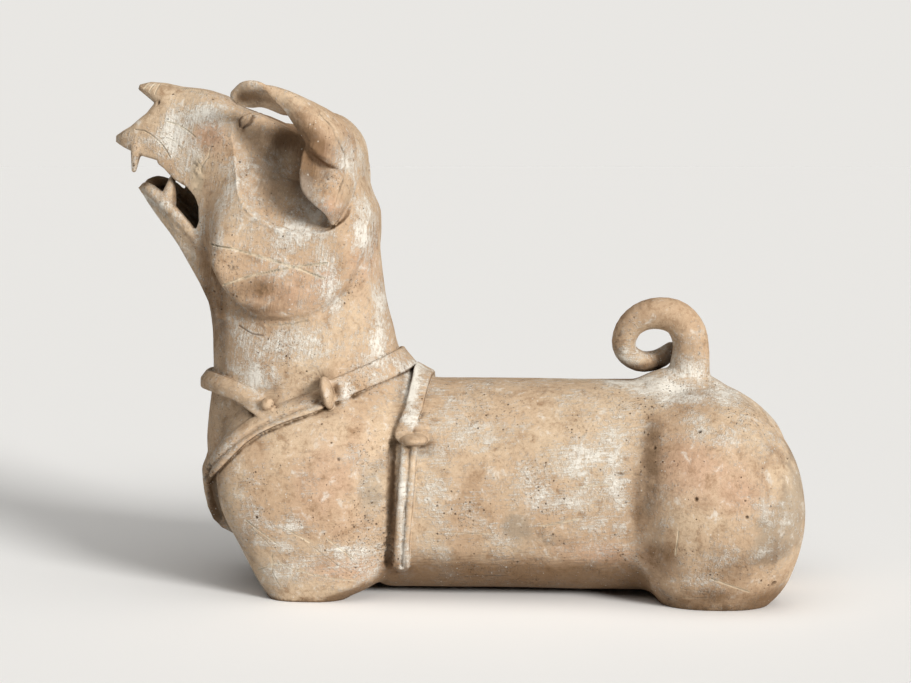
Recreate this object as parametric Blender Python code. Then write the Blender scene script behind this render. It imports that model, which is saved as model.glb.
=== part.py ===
"""Recumbent guard dog in fired clay, head thrown back, harness straps moulded on.

The form is one closed solid. It is worked out as a field of distances in millimetres of a
figure FIGURE_LENGTH long, then scaled to LENGTH. X runs from muzzle to rump, Z is up, and
the side seen in the photo faces -Y.
"""
import math

import bpy
import numpy as np
from mathutils import Vector
from mathutils.bvhtree import BVHTree

# Driving sizes, in metres
LENGTH = 0.548
GRID_STEP = 0.0026
REMESH_VOXEL = 0.0024
TARGET_TRIANGLES = 9400
FOOT_FLATTEN = 0.0008

# Proportions, in millimetres of a figure this long
FIGURE_LENGTH = 548.0
BOUNDS_LOW = (-290.0, -118.0, -16.0)
BOUNDS_HIGH = (284.0, 118.0, 410.0)

# Trunk: half sizes, height of its axis, underside
TRUNK_SPAN = (-70.0, 175.0)
TRUNK_HALF_WIDTH = 82.0
TRUNK_HALF_HEIGHT = 84.0
TRUNK_AXIS_HEIGHT = 77.5
TRUNK_UNDERSIDE = -5.0
GROUND = -7.0
UNDERCUT_WIDTH = 60.0
UNDERCUT_HEIGHT = 12.0

# How square each section is: 2 is an ellipse, higher is squarer
TRUNK_SQUARENESS = 2.2
NECK_SQUARENESS = 2.2
SHOULDER_SQUARENESS = 2.6
HAUNCH_SQUARENESS = 2.3
SKULL_SQUARENESS = 3.0

# Widths of the fillets where the clay masses meet
TRUNK_END_FILLET = 20.0
UNDERCUT_FILLET = 3.0
UNDERSIDE_FILLET = 6.0
LOFT_END_FILLET = 10.0
NECK_FILLET = 24.0
SHOULDER_FILLET = 9.0
HAUNCH_FILLET = 12.0
RUMP_FILLET = 14.0
SKULL_FILLET = 14.0
POLL_FILLET = 8.0
CHEEK_FILLET_SPAN = (255.0, 295.0)
CHEEK_FILLETS = (4.0, 26.0)
CHEEK_EDGE_FILLETS = (12.0, 34.0)
MUZZLE_FILLET = 16.0
JAW_FILLET = 8.0
JAW_EDGE_FILLET = 4.0
LIP_EDGE_FILLET = 2.5
ROOF_EDGE_FILLET = 14.5
MOUTH_FILLET = 6.0
SMALL_FILLET = 1.5
LUTED_FILLET = 3.0
GROUND_FILLET = 0.3

# Lofts by height: height, front, back, half width
NECK_LEVELS = (
    (30, -180, -70, 22),
    (45, -192, -60, 34),
    (60, -199.5, -55, 42),
    (80, -203, -45, 50),
    (105, -205, -34, 60),
    (130, -203.5, -32, 65),
    (160, -200, -38, 64),
    (185, -199.5, -50, 62),
    (205, -200, -55, 60),
    (225, -203, -60, 59),
    (255, -211, -65, 59),
    (290, -215, -72, 58),
    (325, -200, -82, 50),
)
SHOULDER_LEVELS = (
    (-20, -140, -98, 66),
    (-7, -149, -84, 73),
    (8, -158, -60, 79),
    (40, -173.5, -49, 88),
    (58, -182, -48, 92),
    (75, -186.5, -47, 94),
    (100, -187, -47, 93),
    (125, -180, -48, 86),
    (150, -160, -56, 72),
)
HAUNCH_LEVELS = (
    (-20, 176, 226, 70),
    (-6, 158, 245, 80),
    (12, 148, 258, 91),
    (39, 141, 267, 102),
    (62, 138, 270, 106),
    (85, 137, 268, 105),
    (105, 140, 263, 98),
    (125, 147, 252, 86),
    (143, 160, 233, 66),
    (157, 178, 207, 42),
)
SHOULDER_INNER = 10.0
HAUNCH_INNER = 6.0
RUMP_CENTRE = (196.0, 0.0, 84.0)
RUMP_RADII = (62.0, 50.0, 76.0)

# Skull by distance from the muzzle: position, bottom, top, half width
SKULL_LEVELS = (
    (-224, 322, 384, 24),
    (-206, 296, 388, 38),
    (-192, 278, 385, 46),
    (-175, 262, 378, 54),
    (-155, 248, 371, 60),
    (-130, 236, 358, 62),
    (-105, 228, 339, 60),
    (-84, 222, 320, 52),
    (-72, 220, 300, 42),
)
CHEEK_CENTRE = (-132.0, 272.0)
CHEEK_RADIUS = 59.0
CHEEK_HALF_WIDTH = 69.0
CHEEK_SLANT = 0.16
# Dome at the back of the head, by height
POLL_LEVELS = (
    (300, -125, -74, 50),
    (320, -127, -75.5, 53),
    (335, -128, -75, 53),
    (345, -127, -76, 50),
    (354, -125, -79, 46),
    (362, -121, -85, 40),
    (369.5, -116, -92.5, 29),
    (374.5, -111, -100.5, 18),
)
POLL_SQUARENESS = 2.6

# Side outlines, position and height
MUZZLE_OUTLINE = (
    (-258, 392), (-257, 396), (-248, 398), (-236, 397), (-217, 392), (-190, 383),
    (-170, 355), (-175, 300), (-195, 262), (-222, 282), (-234, 306), (-237, 336), (-252, 339),
    (-266, 345), (-276, 350), (-277, 355), (-262, 363), (-249, 373), (-243, 381),
)
JAW_OUTLINE = (
    (-259, 315), (-255, 319), (-246, 319), (-236, 312), (-226, 301), (-206, 281),
    (-190, 240), (-199, 226), (-205, 240), (-212, 253), (-221, 268), (-229, 279), (-237.5, 289.5),
    (-245, 299), (-252, 308),
)
GAPE_OUTLINE = (
    (-300, 350), (-277, 350), (-266, 345), (-252, 339), (-241, 336.5), (-232, 330), (-223, 321),
    (-213, 315), (-207, 308), (-203.5, 299), (-203, 289), (-206, 281), (-226, 301), (-236, 312), (-246, 319),
    (-255, 319), (-262, 312), (-300, 300),
)
MOUTH_INSIDE = (
    (-266, 356), (-246, 359), (-224, 350), (-200, 333), (-182, 308), (-178, 280),
    (-190, 258), (-206, 262), (-222, 284), (-236, 300), (-250, 311), (-262, 318),
)
MUZZLE_PLAN = ((-279, 3), (-275, 16), (-268, 25), (-256, 32), (-240, 36), (-210, 40), (-180, 46))
JAW_PLAN = ((-261, 6), (-257, 18), (-248, 26), (-236, 31), (-220, 36), (-205, 41), (-190, 46))
MUZZLE_ROOF_SPAN = (335.0, 397.0)
MUZZLE_ROOF_NARROWING = 0.5
SIDE_OUTLINE_ROUNDING = 1.5
MOUTH_WALL = 5.5
JAW_LIP_OVERHANG = 6.0
FAR_CORNER = -229.0
FAR_LIP_RISE = 5.0
FAR_LIP_SPAN = (-5.0, 20.0)

# Ear: free edge, crest and rooted edge from the foot to the tip, and the thumb hollow in its lobe
EAR_FREE_EDGE = (
    (-94, -66, 288), (-97, -80, 297), (-111, -93, 311), (-114, -98, 325), (-112, -97, 340),
    (-109, -91, 349), (-114, -91, 358), (-120, -90, 367), (-126, -88, 375), (-134, -88, 383),
    (-142, -88, 391), (-151, -87, 394), (-160, -83, 393), (-167, -77, 388),
)
EAR_CREST = (
    (-94, -62, 289), (-91, -72, 301), (-95, -75, 315), (-97, -74, 329), (-94, -78, 342),
    (-92, -86, 354), (-99, -88, 366), (-110, -86, 377), (-122, -84, 384.5), (-136, -82, 389),
    (-148, -81, 389), (-157, -80, 388), (-164, -76, 388), (-168, -75, 386),
)
EAR_ROOT_EDGE = (
    (-94, -56, 288), (-86, -57, 303), (-81, -50, 316), (-81, -46, 328), (-81, -46, 340),
    (-82, -44, 351), (-87, -42, 362), (-101, -44, 372), (-117, -54, 374), (-131, -60, 373),
    (-147, -62, 379), (-157, -64, 379), (-165, -68, 381), (-168, -73, 384),
)
EAR_SCOOP_CENTRE = (-105.0, 333.0)
EAR_SCOOP_SIZE = (9.0, 15.0)
EAR_SCOOP_DEPTH = 9.0
EAR_HALF_THICKNESS = 2.9
EAR_FOOT_HEIGHT = 288.0
FAR_EAR_LOWERING = 0.76
# Dished hollow under the ear: centre and half sizes in the side plane, rim by height and half width
BOWL_CENTRE = (-116.0, 332.0)
BOWL_HALF_SIZES = (43.0, 57.0)
BOWL_LEAN = 36.0
BOWL_DEPTH = 15.0
BOWL_RIM_PLANE = ((270, 68), (320, 61), (345, 53), (363, 42), (380, 29))
BOWL_SLOPE = 0.85
BOWL_EDGE_HEIGHT = 1.3
BOWL_EDGE_WIDTH = 1.6
EAR_BOX = ((-185, -110, 270), (-60, -25, 410))
EAR_SEARCH_REACH = 30.0

# Tail coil: position, lateral place, height, radius
TAIL_PATH = (
    (180, 0, 145, 20), (182, 0, 166, 17), (183.5, 0, 186, 14.7), (181, 0, 200, 14), (173, -1, 210.5, 13.2),
    (160, -1, 214.5, 12.5), (146, 0, 212.5, 11.3), (135, 2, 204.5, 10), (130, 5, 192, 9.2),
    (133, 9, 181.5, 8.6), (144, 13, 175, 8.2), (157, 18, 176, 7.8), (168, 22, 183, 6.8),
)
TAIL_BOX = ((105, -30, 145), (215, 45, 240))
TAIL_ROOT_CENTRE = (173.0, 0.0, 150.0)
TAIL_ROOT_RADII = (34.0, 25.0, 22.0)
TAIL_ROOT_FILLET = 9.0

# Harness: side paths, widths and how far the straps stand proud
THROAT_STRAP = ((-214, 162), (-192, 161), (-172, 156), (-151, 146))
CHEST_BAND = (
    (-104, 150), (-111, 147), (-123, 143), (-138, 137), (-151, 131), (-164, 122), (-178, 109),
    (-190, 97), (-199, 88), (-206, 80),
)
NAPE_STRAP = ((-97, 157), (-72, 167), (-40, 180))
GIRTH_TOP = ((-30, 182), (-29, 165), (-32, 145), (-39, 126))
GIRTH_SIDE = ((-33, 118), (-34.5, 90), (-37, 60), (-40.5, 22))
KEEL_STRAP = (
    (-202, 98), (-205, 88), (-205.5, 78), (-204.5, 68), (-202, 57), (-198, 48), (-192, 42), (-184, 38),
)
KEEL_STRAP_HALF_WIDTH = 8.5
KEEL_STRAP_THICKNESS = 7.0
KEEL_STRAP_ROUNDING = 2.5
THROAT_WIDTH = 14.0
CHEST_RIBS = (9.5, 5.5)
GIRTH_RIBS = (7.5, 5.5)
NAPE_WIDTH = 17.0
GIRTH_WIDTH = 13.0
THROAT_HEIGHTS = (10.0, 6.0)
THROAT_HEIGHT_SPAN = (-205.0, -150.0)
NAPE_HEIGHT = 5.0
GIRTH_HEIGHT = 6.0
RIB_HEIGHT = 5.5
STRAP_EDGE = 1.4
# Toggles: centre, then half sizes along X, Y and Z
KNOBS = (
    ((-144, -76, 148), (5.8, 6.5, 5.8)),
    ((-98, -72, 157), (4.5, 14.0, 13.0)),
    ((-30, -77, 122), (10.5, 14.0, 4.5)),
)

# Teeth: root, point, root radius, point radius
TEETH = (
    ((-255, -28, 345), (-257, -29, 328), 5.0, 2.2),
    ((-230, -31, 303), (-226, -30, 321.5), 7.0, 2.2),
)
# Rolled lip of the lower jaw, from the chin back to the corner of the mouth
JAW_LIP = (
    (-253, -9, 313), (-249, -19, 314), (-244, -25, 312), (-236, -29.5, 306), (-227, -33, 297.5),
    (-217, -36.5, 287.5), (-208, -39.5, 278), (-200, -42, 270),
)
JAW_LIP_RADIUS = 4.8
TEETH_BOX = ((-280, -50, 290), (-205, 10, 360))

CLAY_COLOUR = (0.56, 0.37, 0.24, 1.0)
CLAY_ROUGHNESS = 0.9


def blend(first, second, soft):
    """Union of two fields, with a fillet about as wide as soft."""
    share = np.clip(0.5 + 0.5 * (second - first) / soft, 0.0, 1.0)
    return second + (first - second) * share - soft * share * (1.0 - share)


def cut(first, second, soft):
    """What is left of the first field outside the second."""
    return -blend(-first, second, soft)


def common(first, second, soft):
    """What lies in both fields."""
    return -blend(-first, -second, soft)


def smooth_curve(points, count):
    """Catmull-Rom curve through rows of numbers, sampled at count places."""
    rows = np.asarray(points, float)
    padded = np.vstack([2 * rows[0] - rows[1], rows, 2 * rows[-1] - rows[-2]])
    place = np.linspace(0.0, len(rows) - 1.0, count)
    start = np.minimum(place.astype(int), len(rows) - 2)
    t = (place - start)[:, None]
    before, here, there, after = (padded[start + shift] for shift in range(4))
    return 0.5 * (2 * here + (there - before) * t
                  + (2 * before - 5 * here + 4 * there - after) * t ** 2
                  + (3 * here - before - 3 * there + after) * t ** 3)


def oval(across, side, half_across, half_side, power):
    """Near distance to an oval; a higher power gives squarer corners."""
    a = np.abs(across) / half_across
    b = np.abs(side) / half_side
    reach = np.maximum((a ** power + b ** power) ** (1.0 / power), 1e-3)
    slope = np.hypot(a ** (power - 1) / half_across, b ** (power - 1) / half_side) * reach ** (1 - power)
    return (reach - 1.0) / np.maximum(slope, 1e-4)


def loft(along, across, side, levels, power, inner=None):
    """Oval sections strung along one axis; with inner, each starts that far from the mid plane."""
    table = smooth_curve(levels, 120)
    low, high, half = (np.interp(along, table[:, 0], table[:, k]) for k in (1, 2, 3))
    if inner is None:
        body = oval(across - (low + high) / 2, side, (high - low) / 2, half, power)
    else:
        body = oval(across - (low + high) / 2, np.abs(side) - (half + inner) / 2,
                    (high - low) / 2, (half - inner) / 2, power)
    ends = np.maximum(levels[0][0] - along, along - levels[-1][0])
    return common(body, ends, LOFT_END_FILLET)


def ellipsoid(x, y, z, centre, radii):
    """Near distance to an ellipsoid."""
    u, v, w = x - centre[0], y - centre[1], z - centre[2]
    reach = np.sqrt((u / radii[0]) ** 2 + (v / radii[1]) ** 2 + (w / radii[2]) ** 2)
    slope = np.sqrt((u / radii[0] ** 2) ** 2 + (v / radii[1] ** 2) ** 2 + (w / radii[2] ** 2) ** 2)
    return reach * (reach - 1.0) / np.maximum(slope, 1e-4)


def outline_distance(x, z, outline):
    """Signed distance to a closed outline in the side plane."""
    nearest = np.full(x.shape, 1e9, x.dtype)
    inside = np.zeros(x.shape, bool)
    previous = outline[-1]
    for point in outline:
        ex, ez = point[0] - previous[0], point[1] - previous[1]
        px, pz = x - previous[0], z - previous[1]
        t = np.clip((px * ex + pz * ez) / (ex * ex + ez * ez), 0.0, 1.0)
        nearest = np.minimum(nearest, (px - t * ex) ** 2 + (pz - t * ez) ** 2)
        if ez != 0:
            crosses = ((pz >= 0) != (pz - ez >= 0)) & (px < ex * pz / ez)
            inside ^= crosses
        previous = point
    return np.where(inside, -1.0, 1.0) * np.sqrt(nearest)


def path_distance(x, z, path):
    """Distance in the side plane to an open path."""
    nearest = np.full(x.shape, 1e9, x.dtype)
    for start, end in zip(path[:-1], path[1:]):
        ex, ez = end[0] - start[0], end[1] - start[1]
        px, pz = x - start[0], z - start[1]
        t = np.clip((px * ex + pz * ez) / (ex * ex + ez * ez), 0.0, 1.0)
        nearest = np.minimum(nearest, (px - t * ex) ** 2 + (pz - t * ez) ** 2)
    return np.sqrt(nearest)


def path_offset(x, z, path):
    """Distance in the side plane to an open path, positive on its left."""
    nearest = np.full(x.shape, 1e9, x.dtype)
    turn = np.ones(x.shape, x.dtype)
    for start, end in zip(path[:-1], path[1:]):
        ex, ez = end[0] - start[0], end[1] - start[1]
        px, pz = x - start[0], z - start[1]
        t = np.clip((px * ex + pz * ez) / (ex * ex + ez * ez), 0.0, 1.0)
        gap = (px - t * ex) ** 2 + (pz - t * ez) ** 2
        turn = np.where(gap < nearest, np.where(ex * pz > ez * px, 1.0, -1.0), turn)
        nearest = np.minimum(nearest, gap)
    return np.sqrt(nearest) * turn


def tapered_rods(x, y, z, rods):
    """Distance to a chain of rods, each from point to point with a radius at both ends."""
    nearest = np.full(x.shape, 1e9, x.dtype)
    for start, end, start_radius, end_radius in rods:
        step = [b - a for a, b in zip(start, end)]
        away = (x - start[0], y - start[1], z - start[2])
        reach = sum(s * s for s in step)
        t = np.clip(sum(a * s for a, s in zip(away, step)) / reach, 0.0, 1.0)
        gap = np.sqrt(sum((a - t * s) ** 2 for a, s in zip(away, step)))
        nearest = np.minimum(nearest, gap - start_radius - t * (end_radius - start_radius))
    return nearest


def core_field(x, y, z):
    """The clay masses without harness, ears, tail and teeth."""
    side = np.abs(y)
    trunk = oval(z - TRUNK_AXIS_HEIGHT, side, TRUNK_HALF_HEIGHT, TRUNK_HALF_WIDTH, TRUNK_SQUARENESS)
    trunk = common(trunk, np.maximum(TRUNK_SPAN[0] - x, x - TRUNK_SPAN[1]), TRUNK_END_FILLET)
    slope = math.sqrt(0.5)
    undercut = (side - UNDERCUT_WIDTH - z + UNDERCUT_HEIGHT) * slope
    trunk = common(trunk, undercut, UNDERCUT_FILLET)
    trunk = common(trunk, TRUNK_UNDERSIDE - z, UNDERSIDE_FILLET)
    body = blend(trunk, loft(z, x, side, NECK_LEVELS, NECK_SQUARENESS), NECK_FILLET)
    shoulders = loft(z, x, side, SHOULDER_LEVELS, SHOULDER_SQUARENESS, SHOULDER_INNER)
    body = blend(body, shoulders, SHOULDER_FILLET)
    haunches = loft(z, x, side, HAUNCH_LEVELS, HAUNCH_SQUARENESS, HAUNCH_INNER)
    body = blend(body, haunches, HAUNCH_FILLET)
    body = blend(body, ellipsoid(x, y, z, RUMP_CENTRE, RUMP_RADII), RUMP_FILLET)
    body = blend(body, loft(x, z, side, SKULL_LEVELS, SKULL_SQUARENESS), SKULL_FILLET)
    body = blend(body, loft(z, x, side, POLL_LEVELS, POLL_SQUARENESS), POLL_FILLET)
    disc = np.hypot(x - CHEEK_CENTRE[0], z - CHEEK_CENTRE[1]) - CHEEK_RADIUS
    cheek_side = side - CHEEK_HALF_WIDTH + CHEEK_SLANT * (x - CHEEK_CENTRE[0])
    cheek = common(disc, cheek_side, np.interp(z, CHEEK_FILLET_SPAN, CHEEK_EDGE_FILLETS))
    body = blend(body, cheek, np.interp(z, CHEEK_FILLET_SPAN, CHEEK_FILLETS))
    return open_mouth(body, x, y, z)


def open_mouth(body, x, y, z):
    """Adds muzzle and lower jaw to the head, and opens the hollow mouth between them."""
    side = np.abs(y)
    rounding = SIDE_OUTLINE_ROUNDING
    roof = np.interp(z, MUZZLE_ROOF_SPAN, (0.0, 1.0))
    mouth_z = z - np.interp(y, FAR_LIP_SPAN, (0.0, FAR_LIP_RISE))
    upper_half = np.interp(x, *np.transpose(MUZZLE_PLAN))
    muzzle_side = side - upper_half * (1.0 - MUZZLE_ROOF_NARROWING * roof ** 1.5)
    edge = LIP_EDGE_FILLET + (ROOF_EDGE_FILLET - LIP_EDGE_FILLET) * roof
    muzzle = common(outline_distance(x, z, MUZZLE_OUTLINE) + rounding, muzzle_side + rounding, edge)
    body = blend(body, muzzle - rounding, MUZZLE_FILLET)
    jaw_half = np.interp(x, *np.transpose(JAW_PLAN))
    jaw = common(outline_distance(x, mouth_z, JAW_OUTLINE) + rounding, side - jaw_half + rounding,
                 JAW_EDGE_FILLET)
    body = blend(body, jaw - rounding, JAW_FILLET)
    inner_half = np.minimum(upper_half, jaw_half + JAW_LIP_OVERHANG) - MOUTH_WALL
    hollow = common(outline_distance(x, mouth_z, MOUTH_INSIDE), side - inner_half, MOUTH_FILLET)
    body = cut(body, hollow, SMALL_FILLET)
    gape = outline_distance(x, mouth_z, GAPE_OUTLINE)
    gape = np.where(y > 0, common(gape, x - FAR_CORNER, JAW_EDGE_FILLET), gape)
    return cut(body, gape, SMALL_FILLET)


def strap_height(x, y, z):
    """How far the moulded straps stand proud at a place on the skin."""
    def flat(path, width, height):
        edge = np.clip((width / 2 - path_distance(x, z, path)) / STRAP_EDGE + 0.5, 0.0, 1.0)
        return height * edge * edge * (3 - 2 * edge)

    def ribs(path, widths, height):
        off = path_offset(x, z, path)
        first = np.clip(1.0 - (2 * off / widths[0] + 1.0) ** 2, 0.0, 1.0)
        second = np.clip(1.0 - (2 * off / widths[1] - 1.0) ** 2, 0.0, 1.0)
        return height * np.maximum(first, second)

    height = flat(THROAT_STRAP, THROAT_WIDTH, np.interp(x, THROAT_HEIGHT_SPAN, THROAT_HEIGHTS))
    height = np.maximum(height, ribs(CHEST_BAND, CHEST_RIBS, RIB_HEIGHT))
    height = np.maximum(height, flat(NAPE_STRAP, NAPE_WIDTH, NAPE_HEIGHT))
    height = np.maximum(height, flat(GIRTH_TOP, GIRTH_WIDTH, GIRTH_HEIGHT))
    return np.maximum(height, ribs(GIRTH_SIDE, GIRTH_RIBS, RIB_HEIGHT))


def keel_strap(x, side, z):
    """The strap end that runs down the breast on the mid line."""
    band = path_distance(x, z, KEEL_STRAP) - KEEL_STRAP_THICKNESS / 2
    return common(band, side - KEEL_STRAP_HALF_WIDTH, KEEL_STRAP_ROUNDING)


def ear_sheet():
    """Middle surface of the near ear flap as a search tree."""
    along, across = 60, 12
    free, crest, root = (smooth_curve(edge, along) for edge in (EAR_FREE_EDGE, EAR_CREST, EAR_ROOT_EDGE))
    shares = [k / across for k in range(across + 1)]
    points = np.stack([free * (1 - t) * (1 - 2 * t) + crest * 4 * t * (1 - t) + root * t * (2 * t - 1)
                       for t in shares], 1)
    scoop = sum(((points[:, :, axis] - centre) / size) ** 2
                for axis, centre, size in zip((0, 2), EAR_SCOOP_CENTRE, EAR_SCOOP_SIZE))
    points[:, :, 1] += EAR_SCOOP_DEPTH * np.exp(-scoop)
    wide = across + 1
    faces = [(i * wide + k, i * wide + k + 1, (i + 1) * wide + k + 1, (i + 1) * wide + k)
             for i in range(along - 1) for k in range(across)]
    return BVHTree.FromPolygons([Vector(p) for p in points.reshape(-1, 3)], faces)


def ear_bowl(x, side, z):
    """Distance to the open air of the dished hollow under the ear."""
    turn = math.radians(BOWL_LEAN)
    u = (x - BOWL_CENTRE[0]) * math.cos(turn) + (z - BOWL_CENTRE[1]) * math.sin(turn)
    w = (z - BOWL_CENTRE[1]) * math.cos(turn) - (x - BOWL_CENTRE[0]) * math.sin(turn)
    spread = (u / BOWL_HALF_SIZES[0]) ** 2 + (w / BOWL_HALF_SIZES[1]) ** 2
    dish = np.interp(z, *np.transpose(BOWL_RIM_PLANE)) - BOWL_DEPTH * (1.0 - spread)
    return (dish - side) * BOWL_SLOPE


def jaw_lip(x, y, z):
    """The rolled lip along both sides of the lower jaw."""
    raised = z - np.interp(y, FAR_LIP_SPAN, (0.0, FAR_LIP_RISE))
    line = smooth_curve(JAW_LIP, 16)
    rods = [(a, b, JAW_LIP_RADIUS, JAW_LIP_RADIUS) for a, b in zip(line[:-1], line[1:])]
    return tapered_rods(x, -np.abs(y), raised, rods)


def in_box(x, y, z, low, high):
    """Which places lie in a box."""
    return ((x > low[0]) & (x < high[0]) & (y > low[1]) & (y < high[1]) & (z > low[2]) & (z < high[2]))


def full_field(x, y, z, sheet):
    """Distance field of the whole figure."""
    core = core_field(x, y, z)
    probe = 0.8
    slope = np.sqrt((core_field(x + probe, y, z) - core) ** 2
                    + (core_field(x, y + probe, z) - core) ** 2
                    + (core_field(x, y, z + probe) - core) ** 2) / probe
    body = core / np.clip(slope, 0.35, 2.0)
    body = body - strap_height(x, y, z)
    body = blend(body, keel_strap(x, np.abs(y), z), SMALL_FILLET)
    side = -np.abs(y)
    bowl = ear_bowl(x, -side, z)
    body = body - BOWL_EDGE_HEIGHT * np.exp(-(bowl / BOWL_EDGE_WIDTH) ** 2)
    body = cut(body, bowl, SMALL_FILLET)
    for centre, radii in KNOBS:
        body = blend(body, ellipsoid(x, side, z, centre, radii), SMALL_FILLET)
    tail = smooth_curve(TAIL_PATH, 34)
    rods = [(a[:3], b[:3], a[3], b[3]) for a, b in zip(tail[:-1], tail[1:])]
    spot = in_box(x, y, z, *TAIL_BOX)
    root = ellipsoid(x[spot], y[spot], z[spot], TAIL_ROOT_CENTRE, TAIL_ROOT_RADII)
    body[spot] = blend(body[spot], root, TAIL_ROOT_FILLET)
    body[spot] = blend(body[spot], tapered_rods(x[spot], y[spot], z[spot], rods), LUTED_FILLET)
    ear_z = np.where(y > 0, EAR_FOOT_HEIGHT + (z - EAR_FOOT_HEIGHT) / FAR_EAR_LOWERING, z)
    spot = in_box(x, side, z, *EAR_BOX)
    gaps = np.array([sheet.find_nearest(Vector(p), EAR_SEARCH_REACH)[3] or EAR_SEARCH_REACH
                     for p in np.stack([x[spot], side[spot], ear_z[spot]], 1).astype(float)])
    body[spot] = blend(body[spot], gaps.astype(body.dtype) - EAR_HALF_THICKNESS, LUTED_FILLET)
    spot = in_box(x, side, z, *TEETH_BOX)
    body[spot] = blend(body[spot], jaw_lip(x[spot], y[spot], z[spot]), SMALL_FILLET)
    body[spot] = blend(body[spot], tapered_rods(x[spot], y[spot], z[spot], TEETH), SMALL_FILLET)
    return common(body, GROUND - z, GROUND_FILLET)


def sample(field, low, high, step, block):
    """Field values on a fine grid, worked out only in blocks that the skin passes near."""
    shape = [int(math.ceil((b - a) / (step * block))) * block + 1 for a, b in zip(low, high)]
    axes = [np.arange(n, dtype=np.float32) * step + a for n, a in zip(shape, low)]
    coarse = [axis[:-1].reshape(-1, block).mean(1) for axis in axes]
    grid = np.meshgrid(*coarse, indexing="ij")
    rough = field(*[g.ravel() for g in grid]).reshape(grid[0].shape)
    values = np.full(shape, 50.0, np.float32)
    inside = np.repeat(np.repeat(np.repeat(rough < 0, block, 0), block, 1), block, 2)
    values[:-1, :-1, :-1][inside] = -50.0
    near = np.argwhere(np.abs(rough) < step * block * 1.5 + 2.0)
    offsets = np.stack(np.meshgrid(*[np.arange(block)] * 3, indexing="ij"), -1).reshape(1, -1, 3)
    for chunk in np.array_split(near, max(1, len(near) * block ** 3 // 1500000)):
        cells = (chunk[:, None, :] * block + offsets).reshape(-1, 3)
        places = [axis[cells[:, k]] for k, axis in enumerate(axes)]
        values[cells[:, 0], cells[:, 1], cells[:, 2]] = field(*places)
    return values, axes


def skin(values, axes, step):
    """Quads of the zero surface, one corner in each grid cell that it crosses."""
    inside = values < 0
    count = sum(inside[i:i - 1 or None, j:j - 1 or None, k:k - 1 or None].astype(np.int8)
                for i in (0, 1) for j in (0, 1) for k in (0, 1))
    cells = np.argwhere((count > 0) & (count < 8))
    number = np.full(count.shape, -1, np.int64)
    number[tuple(cells.T)] = np.arange(len(cells))
    total = np.zeros((len(cells), 3))
    hits = np.zeros((len(cells), 1))
    for axis in range(3):
        others = [k for k in range(3) if k != axis]
        for first in (0, 1):
            for second in (0, 1):
                start = cells.copy()
                start[:, others[0]] += first
                start[:, others[1]] += second
                end = start.copy()
                end[:, axis] += 1
                a = values[tuple(start.T)]
                b = values[tuple(end.T)]
                crossed = (a < 0) != (b < 0)
                share = np.where(crossed, a / np.where(crossed, a - b, 1.0), 0.0)
                place = start.astype(float)
                place[:, axis] += share
                total += place * crossed[:, None]
                hits += crossed[:, None]
    points = total / hits * step + [axis[0] for axis in axes]
    quads = []
    for axis in range(3):
        first, second = [(1, 2), (2, 0), (0, 1)][axis]
        ahead = [slice(None)] * 3
        behind = [slice(None)] * 3
        ahead[axis] = slice(1, None)
        behind[axis] = slice(None, -1)
        a, b = inside[tuple(behind)], inside[tuple(ahead)]
        for edges, flip in ((np.argwhere(a & ~b), False), (np.argwhere(~a & b), True)):
            ring = []
            for shift_first, shift_second in ((1, 1), (0, 1), (0, 0), (1, 0)):
                cell = edges.copy()
                cell[:, first] -= shift_first
                cell[:, second] -= shift_second
                ring.append(number[tuple(cell.T)])
            ring = np.stack(ring, 1)
            quads.append(ring[:, ::-1] if flip else ring)
    return points, np.vstack(quads)


def dense_object(name):
    """The full form as a closed mesh before its triangles are reduced."""
    sheet = ear_sheet()
    scale = LENGTH / FIGURE_LENGTH
    step = GRID_STEP / scale
    values, axes = sample(lambda x, y, z: full_field(x, y, z, sheet), BOUNDS_LOW, BOUNDS_HIGH, step, 4)
    points, quads = skin(values, axes, step)
    mesh = bpy.data.meshes.new(name)
    mesh.from_pydata(((points - (0, 0, GROUND)) * scale).tolist(), [], quads.tolist())
    dog = bpy.data.objects.new(name, mesh)
    bpy.context.scene.collection.objects.link(dog)
    remesh = dog.modifiers.new("close the skin", "REMESH")
    remesh.mode = "VOXEL"
    remesh.voxel_size = REMESH_VOXEL
    return dog


def settle(mesh):
    """Flatten the feet onto the ground and centre the figure over the origin."""
    flat = np.empty(len(mesh.vertices) * 3)
    mesh.vertices.foreach_get("co", flat)
    points = flat.reshape(-1, 3)
    points[points[:, 2] < FOOT_FLATTEN, 2] = 0.0
    points[:, :2] -= (points[:, :2].min(0) + points[:, :2].max(0)) / 2
    mesh.vertices.foreach_set("co", points.ravel())
    mesh.update()


for old in list(bpy.data.objects):
    bpy.data.objects.remove(old, do_unlink=True)

dog = dense_object("guardian_dog")
reduce_faces = dog.modifiers.new("fewer faces", "DECIMATE")
bpy.context.view_layer.update()
dense = dog.evaluated_get(bpy.context.evaluated_depsgraph_get()).to_mesh()
dense.calc_loop_triangles()
reduce_faces.ratio = TARGET_TRIANGLES / len(dense.loop_triangles)
bpy.context.view_layer.update()
final = bpy.data.meshes.new_from_object(dog.evaluated_get(bpy.context.evaluated_depsgraph_get()))
dog.modifiers.clear()
dog.data = final
settle(final)

clay = bpy.data.materials.new("fired clay")
clay.use_nodes = True
shader = clay.node_tree.nodes["Principled BSDF"]
shader.inputs["Base Color"].default_value = CLAY_COLOUR
shader.inputs["Roughness"].default_value = CLAY_ROUGHNESS
final.materials.append(clay)
for face in final.polygons:
    face.use_smooth = True
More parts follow.
